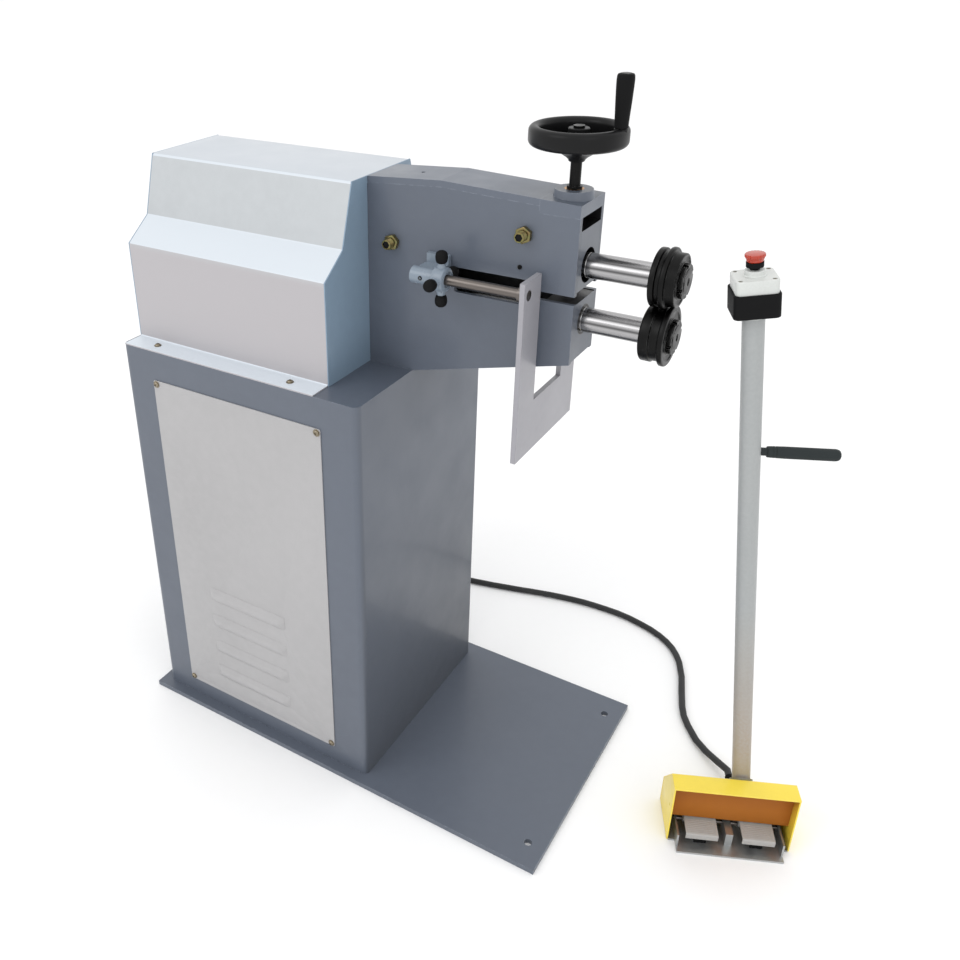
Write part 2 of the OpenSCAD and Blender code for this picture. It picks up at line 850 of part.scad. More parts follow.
module lower_rear_block() {
    color(top_grey) difference() {
        box_at(pivot_x - rear_block_l / 2, ped_x1, -arm_in, arm_in, ped_z, lower_z + bush_r + bush_t);
        along_x(pivot_x - rear_block_l / 2 - cut, 0, lower_z) rod(bush_r, ped_l + 2 * cut);
    }
}

module bush(l) {
    difference() {
        rod(bush_r - seat_gap, l);
        translate([0, 0, -cut]) rod(shaft_r + run_gap, l + 2 * cut);
    }
}

module lower_bushes() {
    color(bronze) {
        along_x(arm_x1 - front_block_l, 0, lower_z) bush(front_block_l);
        along_x(pivot_x - rear_block_l / 2, 0, lower_z) bush(front_block_l);
    }
}

// Upper bearings: the rear block swings on two trunnion bolts, the front one slides

module upper_rear_block() {
    w = nose_w - 2 * side_gap;
    color(dark_steel) difference() {
        translate([pivot_x - rear_block_l / 2, -w / 2, upper_z - rear_block_h / 2])
            cube([rear_block_l, w, rear_block_h]);
        along_x(pivot_x - rear_block_l / 2 - cut, 0, upper_z) rod(bush_r, rear_block_l + 2 * cut);
        for (sy = [-1, 1])
            along_y(pivot_x, sy * (w / 2 - trunnion_tip / 2 + cut / 2) - (trunnion_tip + cut) / 2,
                upper_z) rod(trunnion_tip_r + run_gap, trunnion_tip + cut);
    }
}

module upper_rear_bush() {
    color(bronze) along_x(pivot_x - rear_block_l / 2, 0, upper_z) bush(rear_block_l);
}

module ball_bush() {
    color(bronze) difference() {
        intersection() {
            translate([screw_x, 0, upper_z]) sphere(r = ball_r, $fn = 96);
            along_x(screw_x - ball_l / 2, 0, upper_z) rod(ball_r + cut, ball_l);
        }
        along_x(screw_x - ball_l / 2 - cut, 0, upper_z) rod(shaft_r + run_gap, ball_l + 2 * cut);
    }
}

module pressure_block() {
    w = nose_w - 2 * side_gap;
    z0 = upper_z - block_drop;
    z1 = upper_z + block_top;
    x0 = arm_x1 - 2 * screw_in + side_gap;
    color(top_grey) difference() {
        box_at(x0, arm_x1, -w / 2, w / 2, z0, z1);
        along_x(x0 - cut, 0, upper_z) rod(ball_r + run_gap, arm_x1 - x0 + 2 * cut);
        translate([screw_x, 0, z1 - screw_foot_t - screw_foot_up - 2 * side_gap])
            rod(screw_foot_r + side_gap, screw_foot_t + 2 * side_gap);
        box_at(x0 - cut, screw_x, -screw_foot_r - side_gap, screw_foot_r + side_gap,
            z1 - screw_foot_t - screw_foot_up - 2 * side_gap, z1 - screw_foot_up);
        translate([screw_x, 0, z1 - screw_foot_up - cut]) rod(slot_neck_r, screw_foot_up + 2 * cut);
        box_at(x0 - cut, screw_x, -slot_neck_r, slot_neck_r, z1 - screw_foot_up - cut, z1 + cut);
    }
}

// Bolts through the side plates, each with a nut and a socket in its end

module bolt_end() {
    hex(bolt_nut_r, bolt_nut_t);
    difference() {
        rod(bolt_end_r, bolt_nut_t + bolt_end_l);
        translate([0, 0, bolt_nut_t + bolt_end_l - bolt_socket_l])
            hex(bolt_socket_r, bolt_socket_l + cut);
    }
}

module trunnion_bolts() {
    tip_y = nose_w / 2 - side_gap - trunnion_tip + side_gap;
    color(zinc_yellow) for (sy = [-1, 1])
        translate([pivot_x, 0, upper_z]) rotate([sy * -90, 0, 0]) {
            translate([0, 0, arm_y]) bolt_end();
            translate([0, 0, arm_in]) rod(trunnion_r - seat_gap, arm_t + cut);
            translate([0, 0, tip_y]) rod(trunnion_tip_r, arm_in - tip_y + cut);
        }
}

module tie_bolt() {
    color(zinc_yellow) translate([tie_x, 0, upper_z + tie_up]) {
        for (sy = [-1, 1]) rotate([sy * -90, 0, 0]) translate([0, 0, arm_y]) bolt_end();
        rotate([-90, 0, 0]) translate([0, 0, -arm_y - cut])
            rod(tie_r - seat_gap, 2 * arm_y + 2 * cut);
        rotate([-90, 0, 0]) translate([0, 0, -arm_in]) rod(tie_tube_r, 2 * arm_in);
    }
}

module oil_nipples() {
    color(dark_steel) for (sy = [-1, 1])
        translate([oil_x, 0, upper_z - oil_down]) rotate([sy * -90, 0, 0]) {
            translate([0, 0, arm_in]) rod(oil_stem_r - seat_gap, arm_t + cut);
            translate([0, 0, arm_y]) rod(oil_r, oil_out);
        }
}

// Shafts, gears and rollers

// A shaft from x0 through the roller that starts at x1
module shaft(x0, x1, z) {
    color(steel) along_x(x0, 0, z)
        rod(shaft_r, x1 + roller_w + lock_nut_t + shaft_tip - x0);
}

module lower_shaft() {
    shaft(reducer_x - reducer_l / 2 - 2 * shaft_tip, lower_roller_x0, lower_z);
}

module upper_shaft() {
    shaft(gear_x0 - shaft_tip, upper_roller_x0, upper_z);
}

function involute(a) = tan(a) - a * PI / 180;

// Half angle that a tooth spans at radius r
function tooth_half(r) = (tooth_t / (2 * pitch_r) + involute(pressure_angle)
    - involute(r > base_r ? acos(base_r / r) : 0)) * 180 / PI;

// Radii down one flank of a tooth, from its root to its tip
flank_radii = [root_r, for (i = [0 : flank_steps]) base_r + (tip_r - base_r) * i / flank_steps];

function tooth_points(a) = concat(
    [for (r = flank_radii) r * [cos(a - tooth_half(r)), sin(a - tooth_half(r))]],
    [for (i = [len(flank_radii) - 1 : -1 : 0])
        let (r = flank_radii[i]) r * [cos(a + tooth_half(r)), sin(a + tooth_half(r))]]);

module gear(z, phase) {
    color(dark_steel) along_x(gear_x0, 0, z) difference() {
        union() {
            linear_extrude(height = gear_w) rotate(phase) polygon([for (i = [0 : gear_teeth - 1])
                each tooth_points(i * 360 / gear_teeth)]);
        }
        translate([0, 0, -cut]) rod(shaft_r + seat_gap, gear_w + 2 * cut);
        for (z0 = [-cut, gear_w - gear_web_t])
            translate([0, 0, z0]) difference() {
                rod(root_r * gear_rim_share + gear_web_t, gear_web_t + cut);
                translate([0, 0, -cut]) rod(gear_hub_r, gear_web_t + 3 * cut);
            }
    }
}

module lower_gear() {
    gear(lower_z, 180);
}

module upper_gear() {
    gear(upper_z, 180 / gear_teeth);
}

// One roller: steps of different radius, each with a chamfered edge
module roller(x, z, radii, steps) {
    color(black) along_x(x, 0, z) difference() {
        rotate_extrude($fn = 96) for (i = [0 : len(radii) - 1])
            let (r = radii[i] * shaft_gap, x0 = steps[i], x1 = steps[i + 1])
                polygon([[0, x0], [r - roller_edge, x0], [r, x0 + roller_edge],
                    [r, x1 - roller_edge], [r - roller_edge, x1], [0, x1]]);
        translate([0, 0, -cut]) rod(shaft_r + seat_gap, roller_w + 2 * cut);
    }
}

module lower_roller() {
    roller(lower_roller_x0, lower_z, lower_radius_shares, lower_steps);
}

module upper_roller() {
    roller(upper_roller_x0, upper_z, upper_radius_shares, upper_steps);
}

module lock_nut(x, z) {
    notch = lock_nut_r / 4;
    color(dark_steel) along_x(x + roller_w, 0, z) difference() {
        rod(lock_nut_r, lock_nut_t);
        translate([0, 0, -cut]) rod(shaft_r + seat_gap, lock_nut_t + 2 * cut);
        for (a = [0 : 90 : 270]) rotate(a) translate([lock_nut_r - notch / 2, -notch / 2, -cut])
            cube([notch, notch, lock_nut_t + 2 * cut]);
    }
}

module lower_lock_nut() {
    lock_nut(lower_roller_x0, lower_z);
}

module upper_lock_nut() {
    lock_nut(upper_roller_x0, upper_z);
}

// Pressure screw and handwheel

module pressure_screw() {
    foot_z = upper_z + block_top - screw_foot_up - screw_foot_t - side_gap;
    color(dark_steel) translate([screw_x, 0, 0]) {
        translate([0, 0, foot_z]) rod(screw_foot_r, screw_foot_t);
        translate([0, 0, foot_z]) rod(screw_r, wheel_z + hub_up + screw_top - foot_z);
        translate([0, 0, boss_z + side_gap]) rod(collar_r, collar_h);
    }
}

module handwheel() {
    flat = rim_h / 2 - rim_t / 2;
    color(black) translate([screw_x, 0, wheel_z]) difference() {
        union() {
            rotate_extrude($fn = 96) translate([rim_r, 0]) {
                translate([0, flat]) circle(r = rim_t / 2, $fn = 48);
                translate([0, -flat]) circle(r = rim_t / 2, $fn = 48);
                translate([-rim_t / 2, -flat]) square([rim_t, 2 * flat]);
            }
            rotate_extrude($fn = 96) polygon([[0, hub_up], [hub_r, hub_up],
                [hub_r + web_t, -flat - web_low], [rim_r, -flat], [rim_r, -flat - web_t],
                [2 * hub_r, -flat - web_low - web_t], [hub_foot_r, -hub_low], [0, -hub_low]]);
            rotate(handle_angle) translate([handle_x, 0, 0]) rod(handle_foot_r, rim_h / 2);
        }
        translate([0, 0, -hub_low - cut]) rod(screw_r + seat_gap, hub_low + hub_up + 2 * cut);
        rotate(handle_angle) translate([handle_x, 0, -cut])
            rod(handle_pin_r + seat_gap, rim_h / 2 + 2 * cut);
    }
}

// Places its children on the handwheel's rim, at the revolving handle
module at_handle() {
    translate([screw_x, 0, wheel_z]) rotate(handle_angle)
        translate([handle_x, 0, rim_h / 2]) children();
}

module handle_pin() {
    color(steel) at_handle() {
        translate([0, 0, -rim_h / 2]) rod(handle_pin_r, rim_h / 2 + handle_l + handle_foot);
        translate([0, 0, handle_foot + handle_l - handle_pin_head_t])
            rod(handle_pin_head_r, handle_pin_head_t);
    }
}

module wheel_handle() {
    color(black) at_handle() difference() {
        translate([0, 0, side_gap])
            cylinder(r1 = handle_foot_r, r2 = handle_top_r, h = handle_l, $fn = 64);
        translate([0, 0, -cut]) rod(handle_pin_r + run_gap, handle_l + 3 * cut);
        translate([0, 0, handle_foot + handle_l - handle_pin_head_t - side_gap])
            rod(handle_pin_head_r + side_gap, handle_pin_head_t + 2 * cut);
    }
}

// Depth gauge

module gauge_bracket() {
    w = gauge_y - arm_y;
    color(top_grey) difference() {
        union() {
            box_at(bracket_x, bracket_x + bracket_l, -arm_y - bracket_plate_t, -arm_y,
                gauge_z - bracket_plate_h / 2, gauge_z + bracket_plate_h / 2);
            box_at(bracket_x, bracket_x + bracket_l, -gauge_y, -arm_y - bracket_plate_t + cut,
                gauge_z - bracket_web_t / 2, gauge_z + bracket_web_t / 2);
            along_x(bracket_x, -gauge_y, gauge_z) rod(bracket_r, bracket_l);
        }
        along_x(bracket_x - cut, -gauge_y, gauge_z) rod(gauge_r + run_gap, bracket_l + 2 * cut);
    }
}

module gauge_rod() {
    x0 = fence_xa - rod_tail;
    color(dark_steel) {
        along_x(x0, -gauge_y, gauge_z) rod(gauge_r, rod_tail + fence_t);
        along_x(fence_xa - rod_collar_t, -gauge_y, gauge_z) rod(rod_collar_r, rod_collar_t);
    }
}

module fence() {
    top = ped_z + fence_top;
    crotch = top - fence_prong;
    inner = arm_y + fence_gap;
    color(pole_grey) difference() {
        cross_section(fence_xa, fence_t) polygon([
            [-fence_half_w, crotch - fence_bar], [fence_half_w, crotch - fence_bar],
            [fence_half_w, top], [inner, top], [inner, crotch], [-inner, crotch],
            [-inner, top], [-fence_half_w, top]]);
        along_x(fence_xa - cut, -gauge_y, gauge_z) rod(gauge_r + seat_gap, fence_t + 2 * cut);
    }
}

module star_hub() {
    color(pole_grey) difference() {
        union() {
            along_x(star_x, -gauge_y, gauge_z) rod(star_hub_r, star_hub_l);
            for (a = [0 : 90 : 270]) at_star_arm(a)
                rod(star_arm_r, star_r - star_knob_l / 2 - side_gap);
        }
        along_x(star_x - cut, -gauge_y, gauge_z) rod(gauge_r + run_gap, star_hub_l + 2 * cut);
    }
}

// Turns an upright shape into one arm of the star handle
module at_star_arm(a) {
    translate([star_x + star_hub_l / 2, -gauge_y, gauge_z]) rotate([a, 0, 0]) children();
}

module star_knobs() {
    color(black) for (a = [0 : 90 : 270]) at_star_arm(a)
        translate([0, 0, star_r - star_knob_l / 2]) {
            rod(star_knob_r, star_knob_l - star_knob_r);
            translate([0, 0, star_knob_l - star_knob_r]) sphere(r = star_knob_r, $fn = 48);
        }
}

// Drive: a worm reducer on the pedestal's top with the motor hanging below it

module gear_reducer() {
    x0 = reducer_x - reducer_l / 2;
    x1 = reducer_x + reducer_l / 2;
    mid_y = worm_y - worm_r;
    color(motor_blue) difference() {
        union() {
            translate([reducer_x, 0, ped_z]) linear_extrude(height = lower_shaft_h + reducer_up)
                round_rect(reducer_l, reducer_w, reducer_edge_r);
            along_x(x0 - reducer_flange_t, 0, lower_z)
                rod(reducer_flange_r, reducer_l + 2 * reducer_flange_t);
            translate([reducer_x, worm_y, ped_z]) rod(worm_r, lower_shaft_h + worm_up);
            translate([reducer_x, mid_y / 2, ped_z]) linear_extrude(height = reducer_foot_t)
                square([reducer_l + 2 * reducer_foot_out, reducer_w + 2 * reducer_foot_out],
                    center = true);
        }
        along_x(x0 - reducer_flange_t - cut, 0, lower_z)
            rod(shaft_r + run_gap, reducer_l + 2 * reducer_flange_t + 2 * cut);
    }
}

module motor() {
    top = ped_z - ped_t;
    color(motor_blue) translate([reducer_x, worm_y, 0]) {
        translate([0, 0, top - motor_flange_t]) rod(motor_flange_r, motor_flange_t);
        translate([0, 0, top]) rod(motor_hole_r - cut, ped_t);
        translate([0, 0, top - motor_flange_t - motor_l]) rod(motor_r, motor_l + cut);
        for (i = [0 : motor_fins - 1]) rotate((i + 1 / 2) * 360 / motor_fins)
            translate([motor_r - cut, -motor_fin_t / 2, top - motor_flange_t - motor_l])
                cube([motor_fin_r - motor_r + cut, motor_fin_t, motor_l - motor_flange_t]);
        translate([0, 0, top - motor_flange_t - motor_l - cowl_l / 4]) rod(fan_boss_r, cowl_l / 4 + cut);
    }
}

module motor_cowl() {
    z = ped_z - ped_t - motor_flange_t - motor_l - cowl_l;
    color(dark_steel) translate([reducer_x, worm_y, z]) difference() {
        rod(motor_fin_r, cowl_l);
        translate([0, 0, cowl_t]) rod(motor_fin_r - cowl_t, cowl_l);
        for (i = [0 : cowl_slots - 1]) rotate(i * 360 / cowl_slots)
            translate([motor_fin_r / 4, -cowl_slot_w / 2, -cut])
                cube([motor_fin_r / 2, cowl_slot_w, cowl_t + 2 * cut]);
    }
}

module terminal_box() {
    z = ped_z - ped_t - motor_flange_t - tbox_down;
    color(dark_steel) translate([reducer_x, worm_y, z]) difference() {
        translate([-motor_fin_r - tbox_d, 0, -tbox_h]) translate([tbox_d / 2, 0, 0])
            round_box(tbox_d, tbox_w, tbox_h, box_round);
        translate([0, 0, -tbox_h - cut]) rod(motor_fin_r, tbox_h + 2 * cut);
    }
}

module relay_box() {
    color(panel_grey) translate([ped_x0 + ped_t + relay_d / 2, 0, base_t + relay_up])
        round_box(relay_d, relay_w, relay_h, box_round);
}

// Cable glands: two on the cabinet and one on the foot control

module gland() {
    translate([0, 0, -gland_thread_l]) rod(gland_thread_r - seat_gap, gland_thread_l);
    hex(gland_hex_r, gland_hex_t);
    translate([0, 0, gland_hex_t]) rod(gland_dome_r, gland_dome_t);
    translate([0, 0, gland_hex_t + gland_dome_t])
        cylinder(r1 = gland_dome_r - cut, r2 = gland_tip_r, h = gland_tip_l, $fn = 64);
}

module cable_glands() {
    color(black) {
        along_y(foot_gland_x, ped_y, foot_gland_z) gland();
        translate([ped_x0, 0, mains_gland_z]) rotate([0, -90, 0]) gland();
        at_foot() along_y(hood_gland_x, hood_d, hood_gland_z) gland();
    }
}

// Foot control, drawn in its own place with X across and Y towards its back

module at_foot() {
    translate([ped_x1 + foot_x, foot_y, 0]) rotate(foot_turn) children();
}

module foot_base() {
    color(pole_grey) at_foot() difference() {
        union() {
            box_at(-foot_base_x, foot_base_x, 0, foot_base_back, 0, foot_base_t);
            box_at(-foot_base_w / 2, foot_base_w / 2, -foot_lip, cut, 0, foot_base_t);
            for (x = [-foot_base_w / 2, foot_base_w / 2 - foot_side_t])
                box_at(x, x + foot_side_t, -foot_side_front, foot_side_back,
                    foot_base_t - cut, foot_side_h);
            box_at(-post_w / 2, post_w / 2, -foot_rib_front, foot_side_back,
                foot_base_t - cut, foot_side_h);
        }
        along_x(-foot_base_x - cut, pedal_pin_y, pedal_pin_z)
            rod(pedal_pin_r + seat_gap, 2 * foot_base_x + 2 * cut);
    }
}

// Side view of the hood, drawn in Y and Z, shrunk inwards by s
module hood_outline(s, floor_z) {
    lean = (hood_h - hood_back_h) / (hood_d - hood_band);
    side = s * (sqrt(1 + lean * lean) - lean);
    polygon([[0, floor_z], [0, hood_h - s], [hood_band - s * (sqrt(1 + lean * lean) - 1) / lean,
        hood_h - s], [hood_d - s, hood_back_h - side], [hood_d - s, floor_z]]);
}

module pedal_hood() {
    inner_x = hood_x - hood_t;
    color(guard_yellow) at_foot() difference() {
        union() {
            difference() {
                cross_section(-hood_x, hood_w) hood_outline(0, hood_floor);
                cross_section(-inner_x, 2 * inner_x) union() {
                    hood_outline(hood_t, hood_floor - cut);
                    translate([-cut, 0]) hood_outline(hood_t, hood_floor - cut);
                }
            }
            box_at(-inner_x - cut, inner_x + cut, hood_wall_y - hood_t, hood_wall_y,
                hood_wall_z, hood_h - hood_t + cut);
        }
        along_y(hood_gland_x, hood_d - hood_t - cut, hood_gland_z)
            rod(gland_thread_r, hood_t + 2 * cut);
        pole_line() translate([0, 0, -pole_reach / 2]) rod(grommet_neck_r, pole_reach);
    }
}

module pedal_pin() {
    color(steel) at_foot() along_x(-foot_base_w / 2 - cut, pedal_pin_y, pedal_pin_z)
        rod(pedal_pin_r, foot_base_w + 2 * cut);
}

// A pedal: a folded tread with two cheeks that hang on the pin
module pedal(x) {
    color(pedal_grey) at_foot() translate([0, pedal_pin_y, pedal_pin_z]) rotate([pedal_tilt, 0, 0])
        translate([0, -pedal_pin_y, -pedal_pin_z]) difference() {
        union() {
            box_at(x - pedal_w / 2, x + pedal_w / 2, -pedal_front, pedal_back,
                pedal_top_z - pedal_t, pedal_top_z);
            box_at(x - pedal_w / 2, x + pedal_w / 2, -pedal_front, -pedal_front + pedal_t,
                pedal_top_z - pedal_lip_h, pedal_top_z);
            for (x0 = [x - pedal_w / 2, x + pedal_w / 2 - pedal_cheek_t])
                box_at(x0, x0 + pedal_cheek_t, pedal_pin_y - pedal_pin_r - pedal_t - cut,
                    pedal_back, pedal_pin_z - pedal_pin_r - pedal_t, pedal_top_z);
        }
        along_x(x - pedal_w / 2 - cut, pedal_pin_y, pedal_pin_z)
            rod(pedal_pin_r + run_gap, pedal_w + 2 * cut);
    }
}

module left_pedal() {
    pedal(-pedal_x);
}

module right_pedal() {
    pedal(pedal_x);
}

module pedal_switches() {
    color(black) at_foot() for (sx = [-1, 1]) translate([sx * pedal_x, switch_y, foot_base_t]) {
        translate([-switch_w / 2, -switch_d / 2, 0]) cube([switch_w, switch_d, switch_h]);
        translate([0, 0, switch_h]) rod(plunger_r, plunger_h);
    }
}

// Follows the leaning pole, from where it crosses the height of the hood's top
module pole_line() {
    translate([pole_x, pole_y, hood_h]) rotate([0, -pole_lean, 0]) children();
}

module pole_socket() {
    color(pole_grey) at_foot() difference() {
        intersection() {
            pole_line() translate([0, 0, -pole_reach / 2]) rod(socket_r, pole_reach);
            box_at(-foot_base_x, foot_base_x, 0, foot_base_back, foot_base_t,
                foot_base_t + socket_h);
        }
        pole_line() translate([0, 0, -pole_reach / 2]) rod(pole_r + seat_gap, pole_reach);
    }
}

module pole_grommet() {
    back = (hood_h - hood_back_h) / (hood_d - hood_band);
    color(black) at_foot() difference() {
        union() {
            intersection() {
                pole_line() translate([0, 0, -pole_reach / 2]) rod(grommet_r, pole_reach);
                cross_section(-hood_x, hood_w) polygon([[hood_band, hood_h],
                    [hood_d, hood_back_h], [hood_d, hood_back_h + grommet_t * sqrt(1 + back * back)],
                    [hood_band, hood_h + grommet_t * sqrt(1 + back * back)]]);
            }
            intersection() {
                pole_line() translate([0, 0, -pole_reach / 2])
                    rod(grommet_neck_r - seat_gap, pole_reach);
                cross_section(-hood_x, hood_w) polygon([[hood_band, hood_h],
                    [hood_d, hood_back_h], [hood_d, hood_back_h - hood_t * sqrt(1 + back * back)],
                    [hood_band, hood_h - hood_t * sqrt(1 + back * back)]]);
            }
        }
        pole_line() translate([0, 0, -pole_reach / 2]) rod(pole_r + seat_gap, pole_reach);
    }
}

module pole() {
    color(pole_grey) at_foot() difference() {
        intersection() {
            pole_line() translate([0, 0, -pole_reach / 2]) rod(pole_r, pole_l + pole_reach / 2);
            box_at(-pole_reach, pole_reach, 0, pole_reach, foot_base_t, hood_h + 2 * pole_l);
        }
        pole_line() translate([0, 0, -pole_reach / 2])
            rod(pole_r - pole_t, pole_l + pole_reach / 2 - pole_t);
    }
}

module pole_grip() {
    color(black) at_foot() translate([pole_x, pole_y, hood_h])
        translate([-grip_up * tan(pole_lean), 0, grip_up]) rotate([0, 90, 0]) difference() {
            union() {
                rod(grip_stub_r, pole_r + grip_stub_l + cut);
                translate([0, 0, pole_r + grip_stub_l]) rod(grip_r, grip_l - grip_end_r);
                translate([0, 0, pole_r + grip_stub_l + grip_l - grip_end_r])
                    cylinder(r1 = grip_r, r2 = grip_r - grip_end_r, h = grip_end_r, $fn = 64);
            }
            rotate([0, -90, 0]) rotate([0, -pole_lean, 0]) translate([0, 0, -pole_reach / 4])
                rod(pole_r, pole_reach / 2);
        }
}

module switch_box() {
    color(black) at_foot() pole_line() translate([0, 0, pole_l])
        round_box(box_w, box_d, box_h, box_corner_r);
}

module switch_lid() {
    color(box_white) at_foot() pole_line() translate([0, 0, pole_l + box_h]) difference() {
        union() {
            round_box(lid_w, lid_d, lid_h, box_corner_r);
            translate([0, 0, lid_h - cut]) rod(neck_r, neck_h + cut);
        }
        translate([0, 0, lid_h + neck_h - stem_rod_l - button_travel - side_gap])
            rod(stem_rod_r + run_gap, stem_rod_l + button_travel + side_gap + cut);
    }
}

// The stop button: a stem that is pushed in, and a head that twists on it

module at_button() {
    at_foot() pole_line() translate([0, 0, pole_l + box_h + lid_h + neck_h + button_travel + side_gap])
        children();
}

module stop_stem() {
    color(black) at_button() {
        translate([0, 0, -stem_rod_l]) rod(stem_rod_r, stem_rod_l + cut);
        rod(stem_r, stem_h - button_travel);
        translate([0, 0, stem_h - button_travel - cut]) rod(head_pin_r, head_pin_l + cut);
    }
}

module stop_head() {
    color(stop_red) at_button() translate([0, 0, stem_h - button_travel + side_gap])
        difference() {
            cylinder(r1 = head_foot_r, r2 = head_r, h = head_h, $fn = 64);
            translate([0, 0, -cut]) rod(head_pin_r + run_gap, head_pin_l + cut + side_gap);
        }
}

// Foot cable, swept along its points with rings square to its run

function unit(v) = v / norm(v);
cable_last = len(cable_points) - 1;
function cable_way(i) = i == 0 ? [0, 1, 0]
    : i == cable_last ? hood_gland_way
    : unit(cable_points[i + 1] - cable_points[i - 1]);
function cable_side(i) = unit(cross(cable_way(i), [0, 0, 1]));
function cable_ring(i) = let (s = cable_side(i), u = cross(s, cable_way(i)))
    [for (k = [0 : cable_sides - 1]) let (a = (k + 1 / 2) * 360 / cable_sides)
        cable_points[i] + cable_r * (cos(a) * s + sin(a) * u)];

module foot_cable() {
    n = cable_sides;
    rings = [for (i = [0 : cable_last]) each cable_ring(i)];
    walls = [for (i = [0 : cable_last - 1], k = [0 : n - 1]) each
        [[i * n + k, i * n + (k + 1) % n, (i + 1) * n + k],
        [i * n + (k + 1) % n, (i + 1) * n + (k + 1) % n, (i + 1) * n + k]]];
    first = [[for (k = [n - 1 : -1 : 0]) k]];
    last = [[for (k = [0 : n - 1]) cable_last * n + k]];
    color(black) polyhedron(points = rings, faces = concat(walls, first, last));
}

base_plate();
pedestal_shell();
side_panel();
sheet_screws();
gear_cover();
cover_end_front();
cover_end_rear();
arm_plate_near();
arm_plate_far();
arm_top_plate();
arm_nose_cap();
screw_nut();
lower_front_block();
lower_rear_block();
lower_bushes();
trunnion_bolts();
tie_bolt();
oil_nipples();
gauge_bracket();
gear_reducer();
motor();
motor_cowl();
terminal_box();
relay_box();
cable_glands();
foot_base();
pedal_hood();
pedal_pin();
pedal_switches();
pole_socket();
pole_grommet();
pole();
pole_grip();
switch_box();
switch_lid();
foot_cable();
lower_shaft();
lower_gear();
lower_roller();
lower_lock_nut();
upper_rear_block();
upper_rear_bush();
ball_bush();
upper_shaft();
upper_gear();
upper_roller();
upper_lock_nut();
pressure_block();
pressure_screw();
handwheel();
handle_pin();
wheel_handle();
gauge_rod();
fence();
star_hub();
star_knobs();
left_pedal();
right_pedal();
stop_stem();
stop_head();
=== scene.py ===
"""Looks of the bead roller: pieces, finishes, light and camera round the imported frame. Lengths in metres."""
import json
import math

import bmesh
import bpy
from bpy.props import FloatProperty, FloatVectorProperty, IntProperty, PointerProperty
from bpy.types import Operator, Panel, PropertyGroup
from mathutils import Matrix, Vector


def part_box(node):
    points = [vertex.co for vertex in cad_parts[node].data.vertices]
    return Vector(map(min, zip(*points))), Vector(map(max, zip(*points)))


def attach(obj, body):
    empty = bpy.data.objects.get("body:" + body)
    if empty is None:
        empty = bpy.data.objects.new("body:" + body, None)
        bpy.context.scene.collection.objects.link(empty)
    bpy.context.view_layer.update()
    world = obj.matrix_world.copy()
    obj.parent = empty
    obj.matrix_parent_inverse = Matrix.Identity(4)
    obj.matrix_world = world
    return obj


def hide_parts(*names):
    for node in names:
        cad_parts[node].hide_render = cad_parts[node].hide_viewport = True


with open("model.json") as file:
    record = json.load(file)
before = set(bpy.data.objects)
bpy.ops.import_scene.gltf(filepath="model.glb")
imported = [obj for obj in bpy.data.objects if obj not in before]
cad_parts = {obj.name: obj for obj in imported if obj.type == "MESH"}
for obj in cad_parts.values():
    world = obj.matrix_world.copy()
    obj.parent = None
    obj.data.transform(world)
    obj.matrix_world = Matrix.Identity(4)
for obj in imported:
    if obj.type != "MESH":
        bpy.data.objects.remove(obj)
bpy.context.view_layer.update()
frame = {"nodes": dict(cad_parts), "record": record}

bl_info = {
    "name": "Bead roller",
    "version": (1, 0, 0),
    "blender": (4, 5, 0),
    "location": "View3D > Sidebar > Bead roller",
    "description": "Builds the visible pieces and finishes of a motor-driven bead roller",
    "category": "Object",
}

BODY_OF = {node: body for body, nodes in frame["record"]["behaviour"]["bodies"].items() for node in nodes}


def spin(angle, axis="Z"):
    return Matrix.Rotation(angle, 4, axis)


ALONG_X = Matrix(((0, 0, 1, 0), (1, 0, 0, 0), (0, 1, 0, 0), (0, 0, 0, 1)))
ALONG_Y = spin(-math.pi / 2, "X")
AGAINST_Y = spin(math.pi / 2, "X")
AGAINST_X = spin(-math.pi / 2, "Y")


def srgb(red, green, blue):
    """Linear colour of a colour given as 0 to 255."""
    shares = (red / 255, green / 255, blue / 255)
    return tuple(c / 12.92 if c <= 0.04045 else ((c + 0.055) / 1.055) ** 2.4 for c in shares)


def darker(colour, share):
    return tuple(c * share for c in colour)


def mm(*points):
    """Points given in millimetres, in metres."""
    return [tuple(value / 1000 for value in point) for point in points]


def size(default, name, description, low=0.0):
    return FloatProperty(name=name, description=description, default=default, min=low, unit="LENGTH",
                         subtype="DISTANCE")


def tint(default, name, description):
    return FloatVectorProperty(name=name, description=description, default=default, size=3, min=0, max=1,
                               subtype="COLOR")


# Sizes and colours that a user would change

class BeadRollerPaints(PropertyGroup):
    body: tint(srgb(90, 97, 109), "Body paint", "Blue-grey paint of the pedestal, base and arm")
    cover: tint(srgb(183, 187, 190), "Cover paint", "Pale paint of the gear cover")
    panel: tint(srgb(169, 168, 169), "Panel paint", "Grey paint of the louvred panel")
    guard: tint(srgb(242, 216, 72), "Guard paint", "Yellow paint of the pedal guard")
    fence: tint(srgb(154, 153, 159), "Fence paint", "Light paint of the depth fence")


class BeadRollerMetals(PropertyGroup):
    bright: tint(srgb(178, 177, 178), "Ground steel", "Colour of the ground shafts")
    black: tint(srgb(36, 36, 36), "Blackened steel", "Colour of the rollers and dark fittings")
    zinc: tint(srgb(186, 188, 188), "Zinc plate", "Colour of the pedals, pole and foot plate")
    passivated: tint(srgb(128, 120, 74), "Passivated zinc", "Colour of the arm's bolts")
    bronze: tint(srgb(184, 134, 72), "Bronze", "Colour of the bushes")


